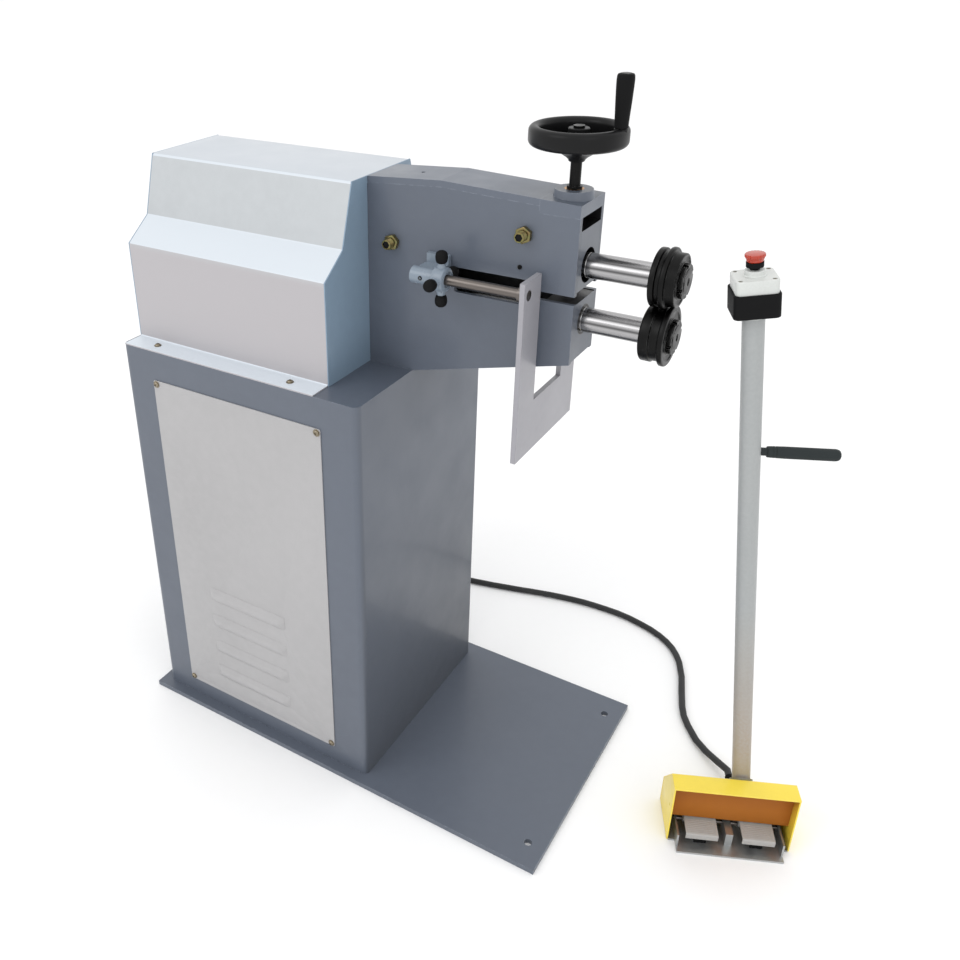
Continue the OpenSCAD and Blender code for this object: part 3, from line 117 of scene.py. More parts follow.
class BeadRollerPlastics(PropertyGroup):
    black: tint(srgb(22, 22, 23), "Black plastic", "Colour of knobs, grip and switch box")
    white: tint(srgb(209, 212, 209), "White plastic", "Colour of the switch box's lid")
    red: tint(srgb(176, 46, 16), "Red plastic", "Colour of the stop button")
    rubber: tint(srgb(36, 36, 37), "Rubber", "Colour of the cable and the grommet")


class BeadRollerSizes(PropertyGroup):
    edge: size(0.0012, "Edge radius", "Radius on the edges of plates and blocks")
    bend: size(0.0060, "Bend radius", "Radius of the bends in folded sheet")
    sheet: size(0.0020, "Sheet thickness", "Thickness of the cover and the panel")
    louvre_depth: size(0.0064, "Louvre depth", "How far a louvre's hood stands out")
    rim_flutes: IntProperty(name="Button flutes", description="Grip flutes round the stop button", default=18,
                             min=6, max=40)


class BeadRollerStudio(PropertyGroup):
    lens: FloatProperty(name="Focal length", description="Focal length of the camera", default=36.7, min=10,
                        unit="CAMERA")
    key: FloatProperty(name="Key light", description="Power of the key light in watts", default=36, min=0)
    fill: FloatProperty(name="Fill light", description="Power of the fill light in watts", default=9, min=0)
    sky: FloatProperty(name="Sky", description="Strength of the even light all round", default=1.06, min=0)


def paints():
    return bpy.context.scene.bead_roller_paints


def metals():
    return bpy.context.scene.bead_roller_metals


def plastics():
    return bpy.context.scene.bead_roller_plastics


def sizes():
    return bpy.context.scene.bead_roller_sizes


# Outlines

def filleted(points, radius, steps=5, closed=True):
    """The outline with each corner rounded; radius is one number or one for each corner."""
    out = []
    count = len(points)
    for i, point in enumerate(points):
        r = radius[i] if hasattr(radius, "__len__") else radius
        here = Vector(point)
        before, after = Vector(points[i - 1]) - here, Vector(points[(i + 1) % count]) - here
        loose_end = not closed and i in (0, count - 1)
        angle = math.pi if loose_end or r <= 0 else before.angle(after, math.pi)
        if angle > math.pi - 0.01:
            out.append(tuple(here))
            continue
        reach = min(r / math.tan(angle / 2), 0.48 * before.length, 0.48 * after.length)
        start, end = here + before.normalized() * reach, here + after.normalized() * reach
        bulge = (before.normalized() + after.normalized()).normalized()
        centre = here + bulge * (reach / math.cos(angle / 2))
        a, b = start - centre, end - centre
        turn = a.angle(b)
        for k in range(steps + 1):
            share = k / steps
            swing = a * math.sin((1 - share) * turn) + b * math.sin(share * turn)
            out.append(tuple(centre + swing / math.sin(turn)))
    return out


def ring(radius, count, centre=(0, 0)):
    return [(centre[0] + radius * math.cos(2 * math.pi * k / count),
             centre[1] + radius * math.sin(2 * math.pi * k / count)) for k in range(count)]


def rounded_rectangle(x0, x1, y0, y1, radius, steps=5):
    return filleted([(x0, y0), (x1, y0), (x1, y1), (x0, y1)], radius, steps)


def band(path, thickness):
    """A strip of that thickness on the left side of an open path, as a closed outline."""
    offset = []
    for i, point in enumerate(path):
        here = Vector(point)
        before = (here - Vector(path[i - 1])).normalized() if i else None
        after = (Vector(path[i + 1]) - here).normalized() if i + 1 < len(path) else None
        way = (before or after) + (after or before)
        way.normalize()
        scale = 1 / max(0.5, way.dot(after or before))
        offset.append(tuple(here + Vector((-way.y, way.x)) * thickness * scale))
    return list(path) + offset[::-1]


def placed(name, data):
    """A new object in the scene."""
    obj = bpy.data.objects.new(name, data)
    bpy.context.scene.collection.objects.link(obj)
    return obj


def evaluated(obj):
    """A mesh of the object as its curve settings or modifiers make it."""
    bpy.context.view_layer.update()
    return bpy.data.meshes.new_from_object(obj.evaluated_get(bpy.context.evaluated_depsgraph_get()))


# Meshes, each made in its own place with local Z as its axis or thickness

def to_mesh(bm, name):
    bmesh.ops.remove_doubles(bm, verts=bm.verts, dist=1e-6)
    bmesh.ops.recalc_face_normals(bm, faces=bm.faces)
    mesh = bpy.data.meshes.new(name)
    bm.to_mesh(mesh)
    bm.free()
    return mesh


def plate_mesh(loops, low, high, edge=0.0, steps=2):
    """A flat plate between two heights, with rounded edges; further loops are holes."""
    curve = bpy.data.curves.new("outline", "CURVE")
    curve.dimensions = "2D"
    curve.fill_mode = "BOTH"
    curve.extrude = max((high - low) / 2 - edge, 1e-6)
    curve.bevel_depth = edge
    curve.bevel_resolution = steps
    curve.offset = -edge
    for loop in loops:
        spline = curve.splines.new("POLY")
        spline.points.add(len(loop) - 1)
        for point, (x, y) in zip(spline.points, loop):
            point.co = (x, y, 0, 1)
        spline.use_cyclic_u = True
    holder = placed("outline", curve)
    mesh = evaluated(holder)
    bpy.data.objects.remove(holder)
    bpy.data.curves.remove(curve)
    mesh.transform(Matrix.Translation((0, 0, (low + high) / 2)))
    bm = bmesh.new()
    bm.from_mesh(mesh)
    bpy.data.meshes.remove(mesh)
    return to_mesh(bm, "plate")


def turned_mesh(profile, segments=72, flutes=0, flute_depth=0.0, flute_from=1.0):
    """A profile of (radius, height) points turned about Z, closed if both of its ends are off the axis."""
    bm = bmesh.new()
    rows = []
    for radius, height in profile:
        if radius < 1e-7:
            rows.append([bm.verts.new((0, 0, height))])
            continue
        row = []
        for k in range(segments):
            angle = 2 * math.pi * k / segments
            r = radius
            if flutes and radius > flute_from:
                r -= flute_depth * (0.5 - 0.5 * math.cos(flutes * angle)) ** 3
            row.append(bm.verts.new((r * math.cos(angle), r * math.sin(angle), height)))
        rows.append(row)
    closed = profile[0][0] > 1e-7 and profile[-1][0] > 1e-7
    for a, b in zip(rows, rows[1:] + (rows[:1] if closed else [])):
        for k in range(segments):
            n = (k + 1) % segments
            corners = [a[k % len(a)], a[n % len(a)], b[n % len(b)], b[k % len(b)]]
            corners = [v for i, v in enumerate(corners) if v not in corners[:i]]
            if len(corners) > 2 and not (len(a) == 1 and len(b) == 1):
                bm.faces.new(corners)
    return to_mesh(bm, "turned")


def block_mesh(low, high, edge, steps):
    """A box between two corners, with rounded edges."""
    bm = bmesh.new()
    bmesh.ops.create_cube(bm, size=1)
    low, high = Vector(low), Vector(high)
    for v in bm.verts:
        v.co = Vector((low[i] + (v.co[i] + 0.5) * (high[i] - low[i]) for i in range(3)))
    bmesh.ops.bevel(bm, geom=bm.edges[:], offset=edge, segments=steps, profile=0.5, affect="EDGES")
    return to_mesh(bm, "block")


def hexagon(across):
    """The outline of a hexagon of that width across its flats."""
    return ring(across / math.sqrt(3), 6)


def nut_mesh(across, height, hole):
    """A hexagon nut with chamfered corners and a hole."""
    mesh = plate_mesh([hexagon(across), ring(hole, 24)], 0, height, 0.0005)
    for v in mesh.vertices:
        reach = v.co.xy.length - across / 2
        end = min(v.co.z, height - v.co.z)
        if reach > 0 and end < reach * 0.6:
            v.co.z += (reach * 0.6 - end) * (1 if v.co.z < height / 2 else -1)
    return mesh


def joined(parts):
    """One mesh from several (mesh, placement) pairs."""
    bm = bmesh.new()
    for mesh, place in parts:
        mesh.transform(place)
        bm.from_mesh(mesh)
        bpy.data.meshes.remove(mesh)
    out = bpy.data.meshes.new("joined")
    bm.to_mesh(out)
    bm.free()
    return out


def carved(mesh, *cutters):
    """The mesh with the volume of each cutter taken out of it."""
    tools = [placed("cutter", cutter) for cutter in cutters]
    body = placed("carved", mesh)
    for tool in tools:
        cut = body.modifiers.new("cut", "BOOLEAN")
        cut.operation = "DIFFERENCE"
        cut.solver = "EXACT"
        cut.object = tool
    out = evaluated(body)
    for obj in tools + [body]:
        spent = obj.data
        bpy.data.objects.remove(obj)
        bpy.data.meshes.remove(spent)
    return out


def at(x=0.0, y=0.0, z=0.0, turn=Matrix()):
    return Matrix.Translation((x, y, z)) @ turn


def piece(name, mesh, material, node, place=Matrix(), extra=False, angle=32):
    """Makes the mesh a piece that rides with the node, takes the finish of that name and, unless extra, stands
    for it.
    """
    mesh.name = name
    mesh.shade_smooth()
    mesh.set_sharp_from_angle(angle=math.radians(angle))
    mesh.materials.clear()
    mesh.materials.append(finish(material))
    obj = placed(name, mesh)
    obj.matrix_world = place
    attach(obj, BODY_OF[node])
    if not extra:
        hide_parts(node)


# Finishes

class Finish:
    """A node-built material: mottled colour, fine grain, varied gloss and, if asked, worn edges."""

    def __init__(self, name, colour, roughness, metallic=0.0, coat=0.0, specular=0.5):
        self.material = bpy.data.materials.new(name)
        self.material.use_nodes = True
        self.material.diffuse_color = (*colour, 1)
        self.tree = self.material.node_tree
        self.shader = self.tree.nodes["Principled BSDF"]
        for key, value in (("Metallic", metallic), ("Roughness", roughness), ("Coat Weight", coat),
                           ("Coat Roughness", 0.12), ("Specular IOR Level", specular)):
            self.shader.inputs[key].default_value = value
        self.place = self.add("ShaderNodeTexCoord").outputs["Object"]
        self.rough = roughness
        source = self.add("ShaderNodeRGB")
        source.outputs[0].default_value = (*colour, 1)
        self.colour = source.outputs[0]

    def add(self, kind, inputs=None, **settings):
        """A node with these input values and settings."""
        node = self.tree.nodes.new(kind)
        for key, value in settings.items():
            setattr(node, key, value)
        for key, value in (inputs or {}).items():
            node.inputs[key].default_value = value
        return node

    def link(self, source, target):
        self.tree.links.new(source, target)

    def noise(self, scale, detail=3.0, stretch=(1, 1, 1), offset=0.0):
        mapping = self.add("ShaderNodeMapping", {"Scale": stretch, "Location": (offset, offset, offset)})
        self.link(self.place, mapping.inputs["Vector"])
        node = self.add("ShaderNodeTexNoise", {"Scale": scale, "Detail": detail})
        self.link(mapping.outputs[0], node.inputs["Vector"])
        return node.outputs["Fac"]

    def spread(self, value, low, high, to_low=0.0, to_high=1.0):
        """The value with the range from low to high spread over another range."""
        node = self.add("ShaderNodeMapRange", {"From Min": low, "From Max": high, "To Min": to_low,
                                               "To Max": to_high})
        self.link(value, node.inputs["Value"])
        return node.outputs[0]

    def mix(self, share, colour):
        """Another colour over the colour so far, by a share that varies."""
        node = self.add("ShaderNodeMix", data_type="RGBA")
        self.link(share, node.inputs[0])
        self.link(self.colour, node.inputs[6])
        node.inputs[7].default_value = (*colour, 1)
        self.colour = node.outputs[2]

    def mottle(self, scale, dark, amount, detail=3.0, stretch=(1, 1, 1), offset=0.0):
        self.mix(self.spread(self.noise(scale, detail, stretch, offset), 0.35, 0.7, 0, amount), dark)
        return self

    def gloss(self, scale, change, stretch=(1, 1, 1)):
        low, high = max(0.02, self.rough - change), min(1, self.rough + change)
        patches = self.noise(scale, 4, stretch, offset=3)
        self.link(self.spread(patches, 0.3, 0.7, low, high), self.shader.inputs["Roughness"])
        return self

    def grain(self, scale, strength, distance=0.0002, stretch=(1, 1, 1)):
        bump = self.add("ShaderNodeBump", {"Strength": strength, "Distance": distance})
        self.link(self.noise(scale, 2, stretch, offset=7), bump.inputs["Height"])
        self.link(bump.outputs["Normal"], self.shader.inputs["Normal"])
        return self

    def worn_edges(self, colour, radius, amount):
        """Another colour in patches along the edges."""
        bevel = self.add("ShaderNodeBevel", {"Radius": radius}, samples=4)
        dot = self.add("ShaderNodeVectorMath", operation="DOT_PRODUCT")
        self.link(bevel.outputs[0], dot.inputs[0])
        self.link(self.add("ShaderNodeNewGeometry").outputs["Normal"], dot.inputs[1])
        edge = self.spread(dot.outputs["Value"], 0.99, 0.86)
        patch = self.spread(self.noise(90, 4, offset=11), 0.42, 0.62, 0, amount)
        self.mix(self.math("MULTIPLY", edge, patch), colour)

    def math(self, operation, first, second=0.0):
        node = self.add("ShaderNodeMath", operation=operation)
        for socket, value in zip(node.inputs, (first, second)):
            if hasattr(value, "links"):
                self.link(value, socket)
            else:
                socket.default_value = value
        return node.outputs[0]

    def parts_of(self, output):
        """X, Y and Z of the shaded point or of its face's normal."""
        node = self.add("ShaderNodeSeparateXYZ")
        self.link(self.add("ShaderNodeNewGeometry").outputs[output], node.inputs[0])
        return node.outputs

    def hollow(self, colour, low, high, distance):
        """Painted shade: another colour where the surface lies in a hollow."""
        shade = self.add("ShaderNodeAmbientOcclusion", {"Distance": distance}, samples=8, only_local=True)
        self.mix(self.spread(shade.outputs["AO"], high, low), colour)

    def front(self, colour):
        """Painted shade: another colour on the faces that look forward."""
        self.mix(self.spread(self.parts_of("Normal")[0], 0.6, 0.9), colour)

    def done(self):
        self.link(self.colour, self.shader.inputs["Base Color"])
        return self.material


LATHE, DRAWN, DRAWN_X = (1, 1, 26), (1, 1, 0.04), (0.04, 1, 1)
WORN, WORN_ARM = srgb(150, 156, 166), srgb(134, 140, 152)
# Painted shade: near-black colours for the shade inside the arm's hollow and in the gaps above and below the
# pressure block.
HOLLOW_SHADE, GAP_SHADE = srgb(20, 20, 22), srgb(14, 14, 15)
ARM_HOLLOW_HALF, ARM_HOLLOW_END = 0.0364, 0.3514
COVER_FOLD, COVER_SIDE_TOP, COVER_FLANGE_TOP = 0.975, 0.955, 0.82


def ground_steel(name):
    """Ground bars, with painted reflections: soft dark lines along them where the room would be mirrored."""
    colour = metals().bright
    made = Finish(name, colour, 0.24, metallic=1.0)
    made.mottle(55, darker(colour, 0.72), 0.5, stretch=DRAWN).mottle(9, darker(colour, 0.82), 0.4)
    up = made.parts_of("Normal")[2]
    # Painted reflections: dark bands at three heights round the bar, set by which way the surface faces.
    for place in (0.62, 0.12, -0.66):
        apart = made.math("ABSOLUTE", made.math("SUBTRACT", up, place))
        made.mix(made.spread(apart, 0.18, 0.02, 0, 0.85), darker(colour, 0.16))
    return made.gloss(55, 0.08, stretch=DRAWN).grain(165, 0.15, 0.0001, stretch=DRAWN).done()


def finish(name):
    """The finish of that name, made the first time it is asked for, apart from the frame's own materials."""
    label = "look_" + name
    found = bpy.data.materials.get(label)
    return found if found else FINISHES[name](label)


def painted(name, colour, roughness, edge=None, coat=0.15, specular=0.5):
    made = Finish(name, colour, roughness, coat=coat, specular=specular)
    made.mottle(3.2, darker(colour, 0.86), 0.5, offset=1).mottle(60, darker(colour, 1.08), 0.35)
    made.mottle(900, darker(colour, 0.9), 0.25, detail=1)
    made.gloss(14, 0.07).grain(420, 0.10, 0.0002)
    if edge:
        made.worn_edges(edge, 0.0016, 0.7)
    return made


def enamel(name, colour, roughness, **look):
    return painted(name, colour, roughness, **look).done()


def pedestal_paint(name):
    """Body paint with painted shade: darker on the faces that look forward, and darkest towards the foot of
    the pedestal's front.
    """
    made = painted(name, paints().body, 0.40, edge=WORN)
    # Painted shade on the faces that look forward.
    front = made.spread(made.parts_of("Normal")[0], 0.6, 0.9)
    made.mix(front, darker(paints().body, 0.93))
    # Painted shade that deepens towards the foot of the front faces.
    low = made.spread(made.parts_of("Position")[2], 0.62, 0.02, 0, 0.55)
    made.mix(made.math("MULTIPLY", front, low), srgb(66, 68, 72))
    return made.done()


def cover_paint(name):
    """The cover's pale paint, with painted light and shade: greyer low on its upright sides, brighter where
    its folds face up.
    """
    made = painted(name, paints().cover, 0.36)
    up, height = made.parts_of("Normal")[2], made.parts_of("Position")[2]
    lit_facing_up = made.math("GREATER_THAN", up, 0.4)
    upright = made.math("LESS_THAN", up, 0.4)
    side = made.math("MULTIPLY", upright, made.spread(height, COVER_FOLD, COVER_SIDE_TOP))
    flange = made.math("MULTIPLY", lit_facing_up, made.math("LESS_THAN", height, COVER_FLANGE_TOP))
    # Painted shade: greyer low on the upright sides.
    made.mix(side, srgb(174, 171, 174))
    # Painted light on the faces that look up, a little less on the flat top and most on the flange.
    made.mix(lit_facing_up, srgb(204, 211, 218))
    made.mix(made.math("GREATER_THAN", up, 0.92), srgb(186, 192, 199))
    made.mix(flange, srgb(212, 220, 228))
    return made.done()


def arm_paint(name):
    """Body paint with painted shade: darker on the faces that look forward, near-black on the faces that look
    into the arm's hollow.
    """
    made = painted(name, paints().body, 0.40, edge=WORN_ARM)
    # Painted shade on the faces that look forward.
    made.front(darker(paints().body, 0.84))
    # Painted shade: near-black inside the arm's hollow.
    place = made.parts_of("Position")
    within = made.math("LESS_THAN", made.math("ABSOLUTE", place[1]), ARM_HOLLOW_HALF)
    made.mix(made.math("MULTIPLY", within, made.math("LESS_THAN", place[0], ARM_HOLLOW_END)), HOLLOW_SHADE)
    return made.done()


def arm_top_paint(name):
    """The paint of the arm's top, with painted light and shade: a lighter copy of the body paint for the lit
    top, near-black on the faces that look down into the hollow.
    """
    # Painted light: the body paint made a little lighter.
    made = painted(name, darker(paints().body, 1.06), 0.36, edge=WORN_ARM)
    # Painted shade on the faces that look down.
    made.mix(made.math("LESS_THAN", made.parts_of("Normal")[2], -0.4), HOLLOW_SHADE)
    return made.done()


def block_paint(name):
    """The paint of the pressure block, with painted shade: darker on its front, near-black on its top and
    underside.
    """
    made = painted(name, paints().body, 0.36, edge=WORN_ARM)
    # Painted shade on the faces that look forward.
    made.front(darker(paints().body, 0.84))
    # Painted shade: near-black on the top and underside, in the gaps above and below the block.
    flat = made.math("GREATER_THAN", made.math("ABSOLUTE", made.parts_of("Normal")[2]), 0.4)
    made.mix(flat, GAP_SHADE)
    return made.done()


def guard_paint(name):
    """Yellow paint outside, shading into painted orange-brown shade on the faces that lie in the guard's
    hollows.
    """
    made = painted(name, paints().guard, 0.34, edge=srgb(250, 226, 130))
    # Painted shade where the surface lies in a hollow.
    made.hollow(srgb(168, 96, 26), 0.5, 0.93, 0.1)
    return made.done()


def guard_shade(name):
    """Painted shade inside the guard: the yellow sheet in shadow, orange-brown and darker towards its top."""
    made = painted(name, srgb(166, 100, 34), 0.6, coat=0.0, specular=0.2)
    # Painted shade that deepens towards the top of the inside.
    made.mix(made.spread(made.parts_of("Position")[2], 0.07, 0.125, 0, 0.55), srgb(128, 66, 22))
    return made.done()


def machine_steel(name, colour, roughness, stretch, edge=None, scale=55):
    made = Finish(name, colour, roughness, metallic=1.0)
    made.mottle(scale, darker(colour, 0.72), 0.55, stretch=stretch).mottle(9, darker(colour, 0.82), 0.5)
    made.gloss(scale, 0.10, stretch=stretch).grain(scale * 3, 0.18, 0.0001, stretch=stretch)
    if edge:
        made.worn_edges(edge, 0.0014, 0.9)
    return made.done()


def moulded(name, colour, roughness=0.45, grain=0.25, scale=1400, coat=0.0, specular=0.5):
    made = Finish(name, colour, roughness, coat=coat, specular=specular)
    made.mottle(12, darker(colour, 0.85), 0.5).mottle(300, darker(colour, 1.15), 0.25)
    return made.gloss(30, 0.08).grain(scale, grain, 0.0001).done()


def zinc_plate(name):
    colour = metals().zinc
    made = Finish(name, colour, 0.38, metallic=0.85)
    spangle = made.add("ShaderNodeTexVoronoi", {"Scale": 120})
    made.link(made.place, spangle.inputs["Vector"])
    made.mix(made.spread(spangle.outputs["Distance"], 0, 0.7, 0, 0.25), darker(colour, 0.8))
    made.mottle(5, darker(colour, 0.8), 0.45).gloss(80, 0.1).grain(260, 0.12, 0.0001)
    return made.done()


def passivated_zinc(name):
    colour = metals().passivated
    made = Finish(name, colour, 0.32, metallic=0.9)
    made.mottle(160, srgb(112, 124, 84), 0.7, offset=2).mottle(220, srgb(140, 104, 84), 0.5, offset=5)
    return made.gloss(200, 0.1).grain(500, 0.1, 0.0001).done()


def pole_paint(name):
    made = Finish(name, srgb(161, 164, 164), 0.45)
    apart = made.add("ShaderNodeSeparateXYZ")
    made.link(made.place, apart.inputs[0])
    made.mix(made.spread(apart.outputs[2], 0.36, 0.06, 0, 0.8), srgb(168, 148, 126))
    made.mottle(4, srgb(146, 150, 152), 0.4, stretch=(1, 1, 0.3)).mottle(200, srgb(172, 174, 174), 0.3)
    return made.gloss(24, 0.08, stretch=(1, 1, 0.2)).grain(300, 0.08, 0.0001).done()


def studio_floor(name):
    made = Finish(name, srgb(252, 252, 252), 0.6, specular=0.2)
    made.mottle(1.3, srgb(250, 250, 251), 0.5).mottle(45, srgb(249, 249, 249), 0.3)
    return made.gloss(5, 0.08).done()


FINISHES = {
    "body_paint": lambda n: enamel(n, paints().body, 0.40, edge=WORN),
    "pedestal_paint": pedestal_paint,
    "arm_paint": arm_paint,
    "arm_top_paint": arm_top_paint,
    "cover_paint": cover_paint,
    "panel_paint": lambda n: enamel(n, paints().panel, 0.42),
    "end_paint": lambda n: enamel(n, srgb(129, 150, 169), 0.38),
    "hub_paint": lambda n: enamel(n, srgb(126, 138, 151), 0.34),
    "pedal_paint": lambda n: enamel(n, srgb(170, 168, 165), 0.55),
    "fence_paint": lambda n: enamel(n, paints().fence, 0.38, edge=srgb(120, 120, 122)),
    "block_paint": block_paint,
    "guard_paint": guard_paint,
    "guard_shade": guard_shade,
    "motor_paint": lambda n: enamel(n, srgb(70, 92, 122), 0.45),
    "ground_steel": ground_steel,
    "black_steel": lambda n: machine_steel(n, metals().black, 0.36, LATHE, edge=srgb(150, 150, 150)),
    "wheel_enamel": lambda n: enamel(n, srgb(20, 20, 21), 0.38, edge=srgb(70, 70, 70), coat=0.03,
                                     specular=0.18),
    "zinc_plate": zinc_plate,
    "passivated_zinc": passivated_zinc,
    "screw_steel": lambda n: machine_steel(n, srgb(150, 140, 122), 0.34, (1, 1, 1)),
    "rod_steel": lambda n: machine_steel(n, srgb(112, 106, 102), 0.3, DRAWN_X),
    "pole_paint": pole_paint,
    "bronze": lambda n: machine_steel(n, metals().bronze, 0.3, LATHE),
    "black_plastic": lambda n: moulded(n, plastics().black, 0.6, grain=0.06, specular=0.08),
    "white_plastic": lambda n: moulded(n, plastics().white, 0.36, grain=0.15),
    "red_plastic": lambda n: moulded(n, plastics().red, 0.26, grain=0.05, coat=0.4),
    "grip_plastic": lambda n: moulded(n, srgb(46, 51, 52), 0.55, grain=0.08, specular=0.12),
    "grey_plastic": lambda n: moulded(n, srgb(128, 128, 132), 0.5),
    "ring_plastic": lambda n: moulded(n, srgb(150, 150, 150), 0.5),
    "rubber": lambda n: moulded(n, plastics().rubber, 0.62, grain=0.3, scale=900),
    "floor": studio_floor,
}


def carry_over(node, material, edge, segments):
    """A CAD node that keeps its own shape, with a finish and softened edges."""
    obj = frame["nodes"][node]
    obj.data.materials.clear()
    obj.data.materials.append(finish(material))
    if edge:
        bevel = obj.modifiers.new("softened edges", "BEVEL")
        bevel.width = edge
        bevel.segments = segments
        bevel.limit_method = "ANGLE"
        bevel.angle_limit = math.radians(40)
        bevel.harden_normals = True


class PieceOperator(Operator):
    """Base of the operators that build pieces"""
    bl_options = {"REGISTER"}

    def execute(self, context):
        self.build()
        return {"FINISHED"}


# Stage

SENSOR, CLIP_END = 36, 150
SHIFT_X, SHIFT_Y = 0.124, -0.0667
CAMERA_PLACE = (0.834, -1.309, 1.470)
CAMERA_RIGHT, CAMERA_UP = Vector((0.8344, 0.5507, -0.0217)), Vector((-0.2383, 0.3951, 0.8872))
LAMP_AIM = Vector((0.1, 0, 0.7))
LAMPS = (("key", (-1.6, -3.2, 3.6), 2.4), ("fill", (2.6, -2.2, 2.6), 2.2), ("top", (0.2, 0.6, 4.2), 3.0))
FLOOR_HALF, FLOOR_CORNER, FLOOR_DEPTH = 45, 4, 0.02


class BeadRollerStage(PieceOperator):
    """Camera, lights and the pale floor"""
    bl_idname = "bead_roller.stage"
    bl_label = "Stage"

    def build(self):
        scene = bpy.context.scene
        studio = scene.bead_roller_studio
        camera = placed("camera", bpy.data.cameras.new("camera"))
        camera.data.lens = studio.lens
        camera.data.sensor_width = SENSOR
        camera.data.shift_x, camera.data.shift_y = SHIFT_X, SHIFT_Y
        camera.data.clip_end = CLIP_END
        right = CAMERA_RIGHT.normalized()
        up = (CAMERA_UP - right * CAMERA_UP.dot(right)).normalized()
        turn = Matrix((right, up, right.cross(up))).transposed().to_4x4()
        camera.matrix_world = Matrix.Translation(CAMERA_PLACE) @ turn
        scene.camera = camera
        scene.view_settings.view_transform = "Standard"
        world = bpy.data.worlds.new("studio")
        world.use_nodes = True
        background = world.node_tree.nodes["Background"]
        background.inputs["Color"].default_value = (1, 1, 1, 1)
        background.inputs["Strength"].default_value = studio.sky
        scene.world = world
        for name, place, width in LAMPS:
            light = bpy.data.lights.new(name, "AREA")
            light.energy = studio.key if name == "key" else studio.fill
            light.size = width
            lamp = placed(name, light)
            lamp.location = place
            lamp.rotation_euler = (LAMP_AIM - Vector(place)).to_track_quat("-Z", "Y").to_euler()
        outline = rounded_rectangle(-FLOOR_HALF, FLOOR_HALF, -FLOOR_HALF, FLOOR_HALF, FLOOR_CORNER)
        floor = placed("floor", plate_mesh([outline], -FLOOR_DEPTH, 0.0))
        floor.data.materials.append(finish("floor"))


# Foot cable

CABLE_RADIUS = 0.0065
CABLE_FLOOR = (
    (-157, 389), (-138, 403), (-116, 415), (-88, 425), (-56, 433), (-22, 440), (20, 450), (42, 456),
    (64, 462), (86, 468), (108, 475), (130, 481), (152, 487), (178, 493), (204, 498), (230, 502), (256, 504),
    (284, 505), (312, 505), (340, 502), (368, 496), (394, 489), (418, 479), (438, 467), (456, 452),
    (471, 434), (483, 415), (501, 374), (514, 332), (528, 290), (539, 265), (554, 243))
CABLE_POINTS = mm((-200, 255, 70), (-200, 276, 69), (-199, 298, 62), (-196, 319, 49), (-191, 338, 33),
                  (-183, 356, 18), (-172, 373, 9), *((x, y, CABLE_RADIUS * 1000) for x, y in CABLE_FLOOR),
                  (579, 213, 7), (606, 188, 12), (633, 168, 18), (653.514, 151.9, 24), (660.276, 137.4, 25))


class BeadRollerCable(PieceOperator):
    """The cable from the pedestal to the foot control"""
    bl_idname = "bead_roller.cable"
    bl_label = "Foot cable"

    def build(self):
        curve = bpy.data.curves.new("foot_cable_jacket", "CURVE")
        curve.dimensions = "3D"
        curve.bevel_depth = CABLE_RADIUS
        curve.bevel_resolution = 5
        curve.resolution_u = 3
        curve.use_fill_caps = True
        spline = curve.splines.new("POLY")
        spline.points.add(len(CABLE_POINTS) - 1)
        for point, place in zip(spline.points, CABLE_POINTS):
            point.co = (*place, 1)
        spline.use_smooth = True
        curve.materials.append(finish("rubber"))
        jacket = placed("foot_cable_jacket", curve)
        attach(jacket, BODY_OF["foot_cable"])
        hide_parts("foot_cable")


# Places that several pieces share

FOOT = at(0.696, 0.004, 0, spin(math.radians(25)))
POLE_X, POLE_Y, POLE_Z = 0.016, 0.058, 0.125
POLE_LEAN = math.radians(7.5)
POLE = FOOT @ at(POLE_X, POLE_Y, POLE_Z, spin(-POLE_LEAN, "Y"))
GRIP_UP, BOX_UP, LID_UP, BUTTON_UP = 0.632, 0.854, 0.888, 0.9266
LID = POLE @ at(0, 0, LID_UP)
SHAFT_R = 0.0185
LOWER_Z, UPPER_Z = 0.92, 1.004
ARM_HALF = 0.044
STAR_X, ROD_Y, ROD_Z = 0.1613, -0.092, 0.977
GRUB = at(0.132, -0.105, ROD_Z, AGAINST_Y)
SCREW_X, WHEEL_Z = 0.322, 1.186
HANDLE_OUT, HANDLE_Z = 0.059, 1.2
LOUVRE_Z = (0.095, 0.159, 0.223, 0.287)
PANEL_SCREWS = [(x, z) for x in (-0.344, 0.005) for z in (0.054, 0.728)]
COVER_SCREWS = [(x, y) for x in (-0.353, -0.061) for y in (-0.188, 0.188)]


# Pedestal panel and cover

LOUVRE_LENGTH, LOUVRE_HEIGHT, LOUVRE_END = 0.18, 0.026, 0.014
LOUVRE_CREST, LOUVRE_DROP, LOUVRE_SHEET = 0.45, 0.62, 0.0011
LOUVRE_X, LOUVRE_Y = -0.27, -0.2102
PANEL_BOX, PANEL_CORNER = (-0.351, 0.012, 0.047, 0.735), 0.004
PANEL_BACK, PANEL_FRONT = -0.209, -0.211
FLANGE_TOP = 0.792
COVER_ENDS = (-0.413, -0.001)


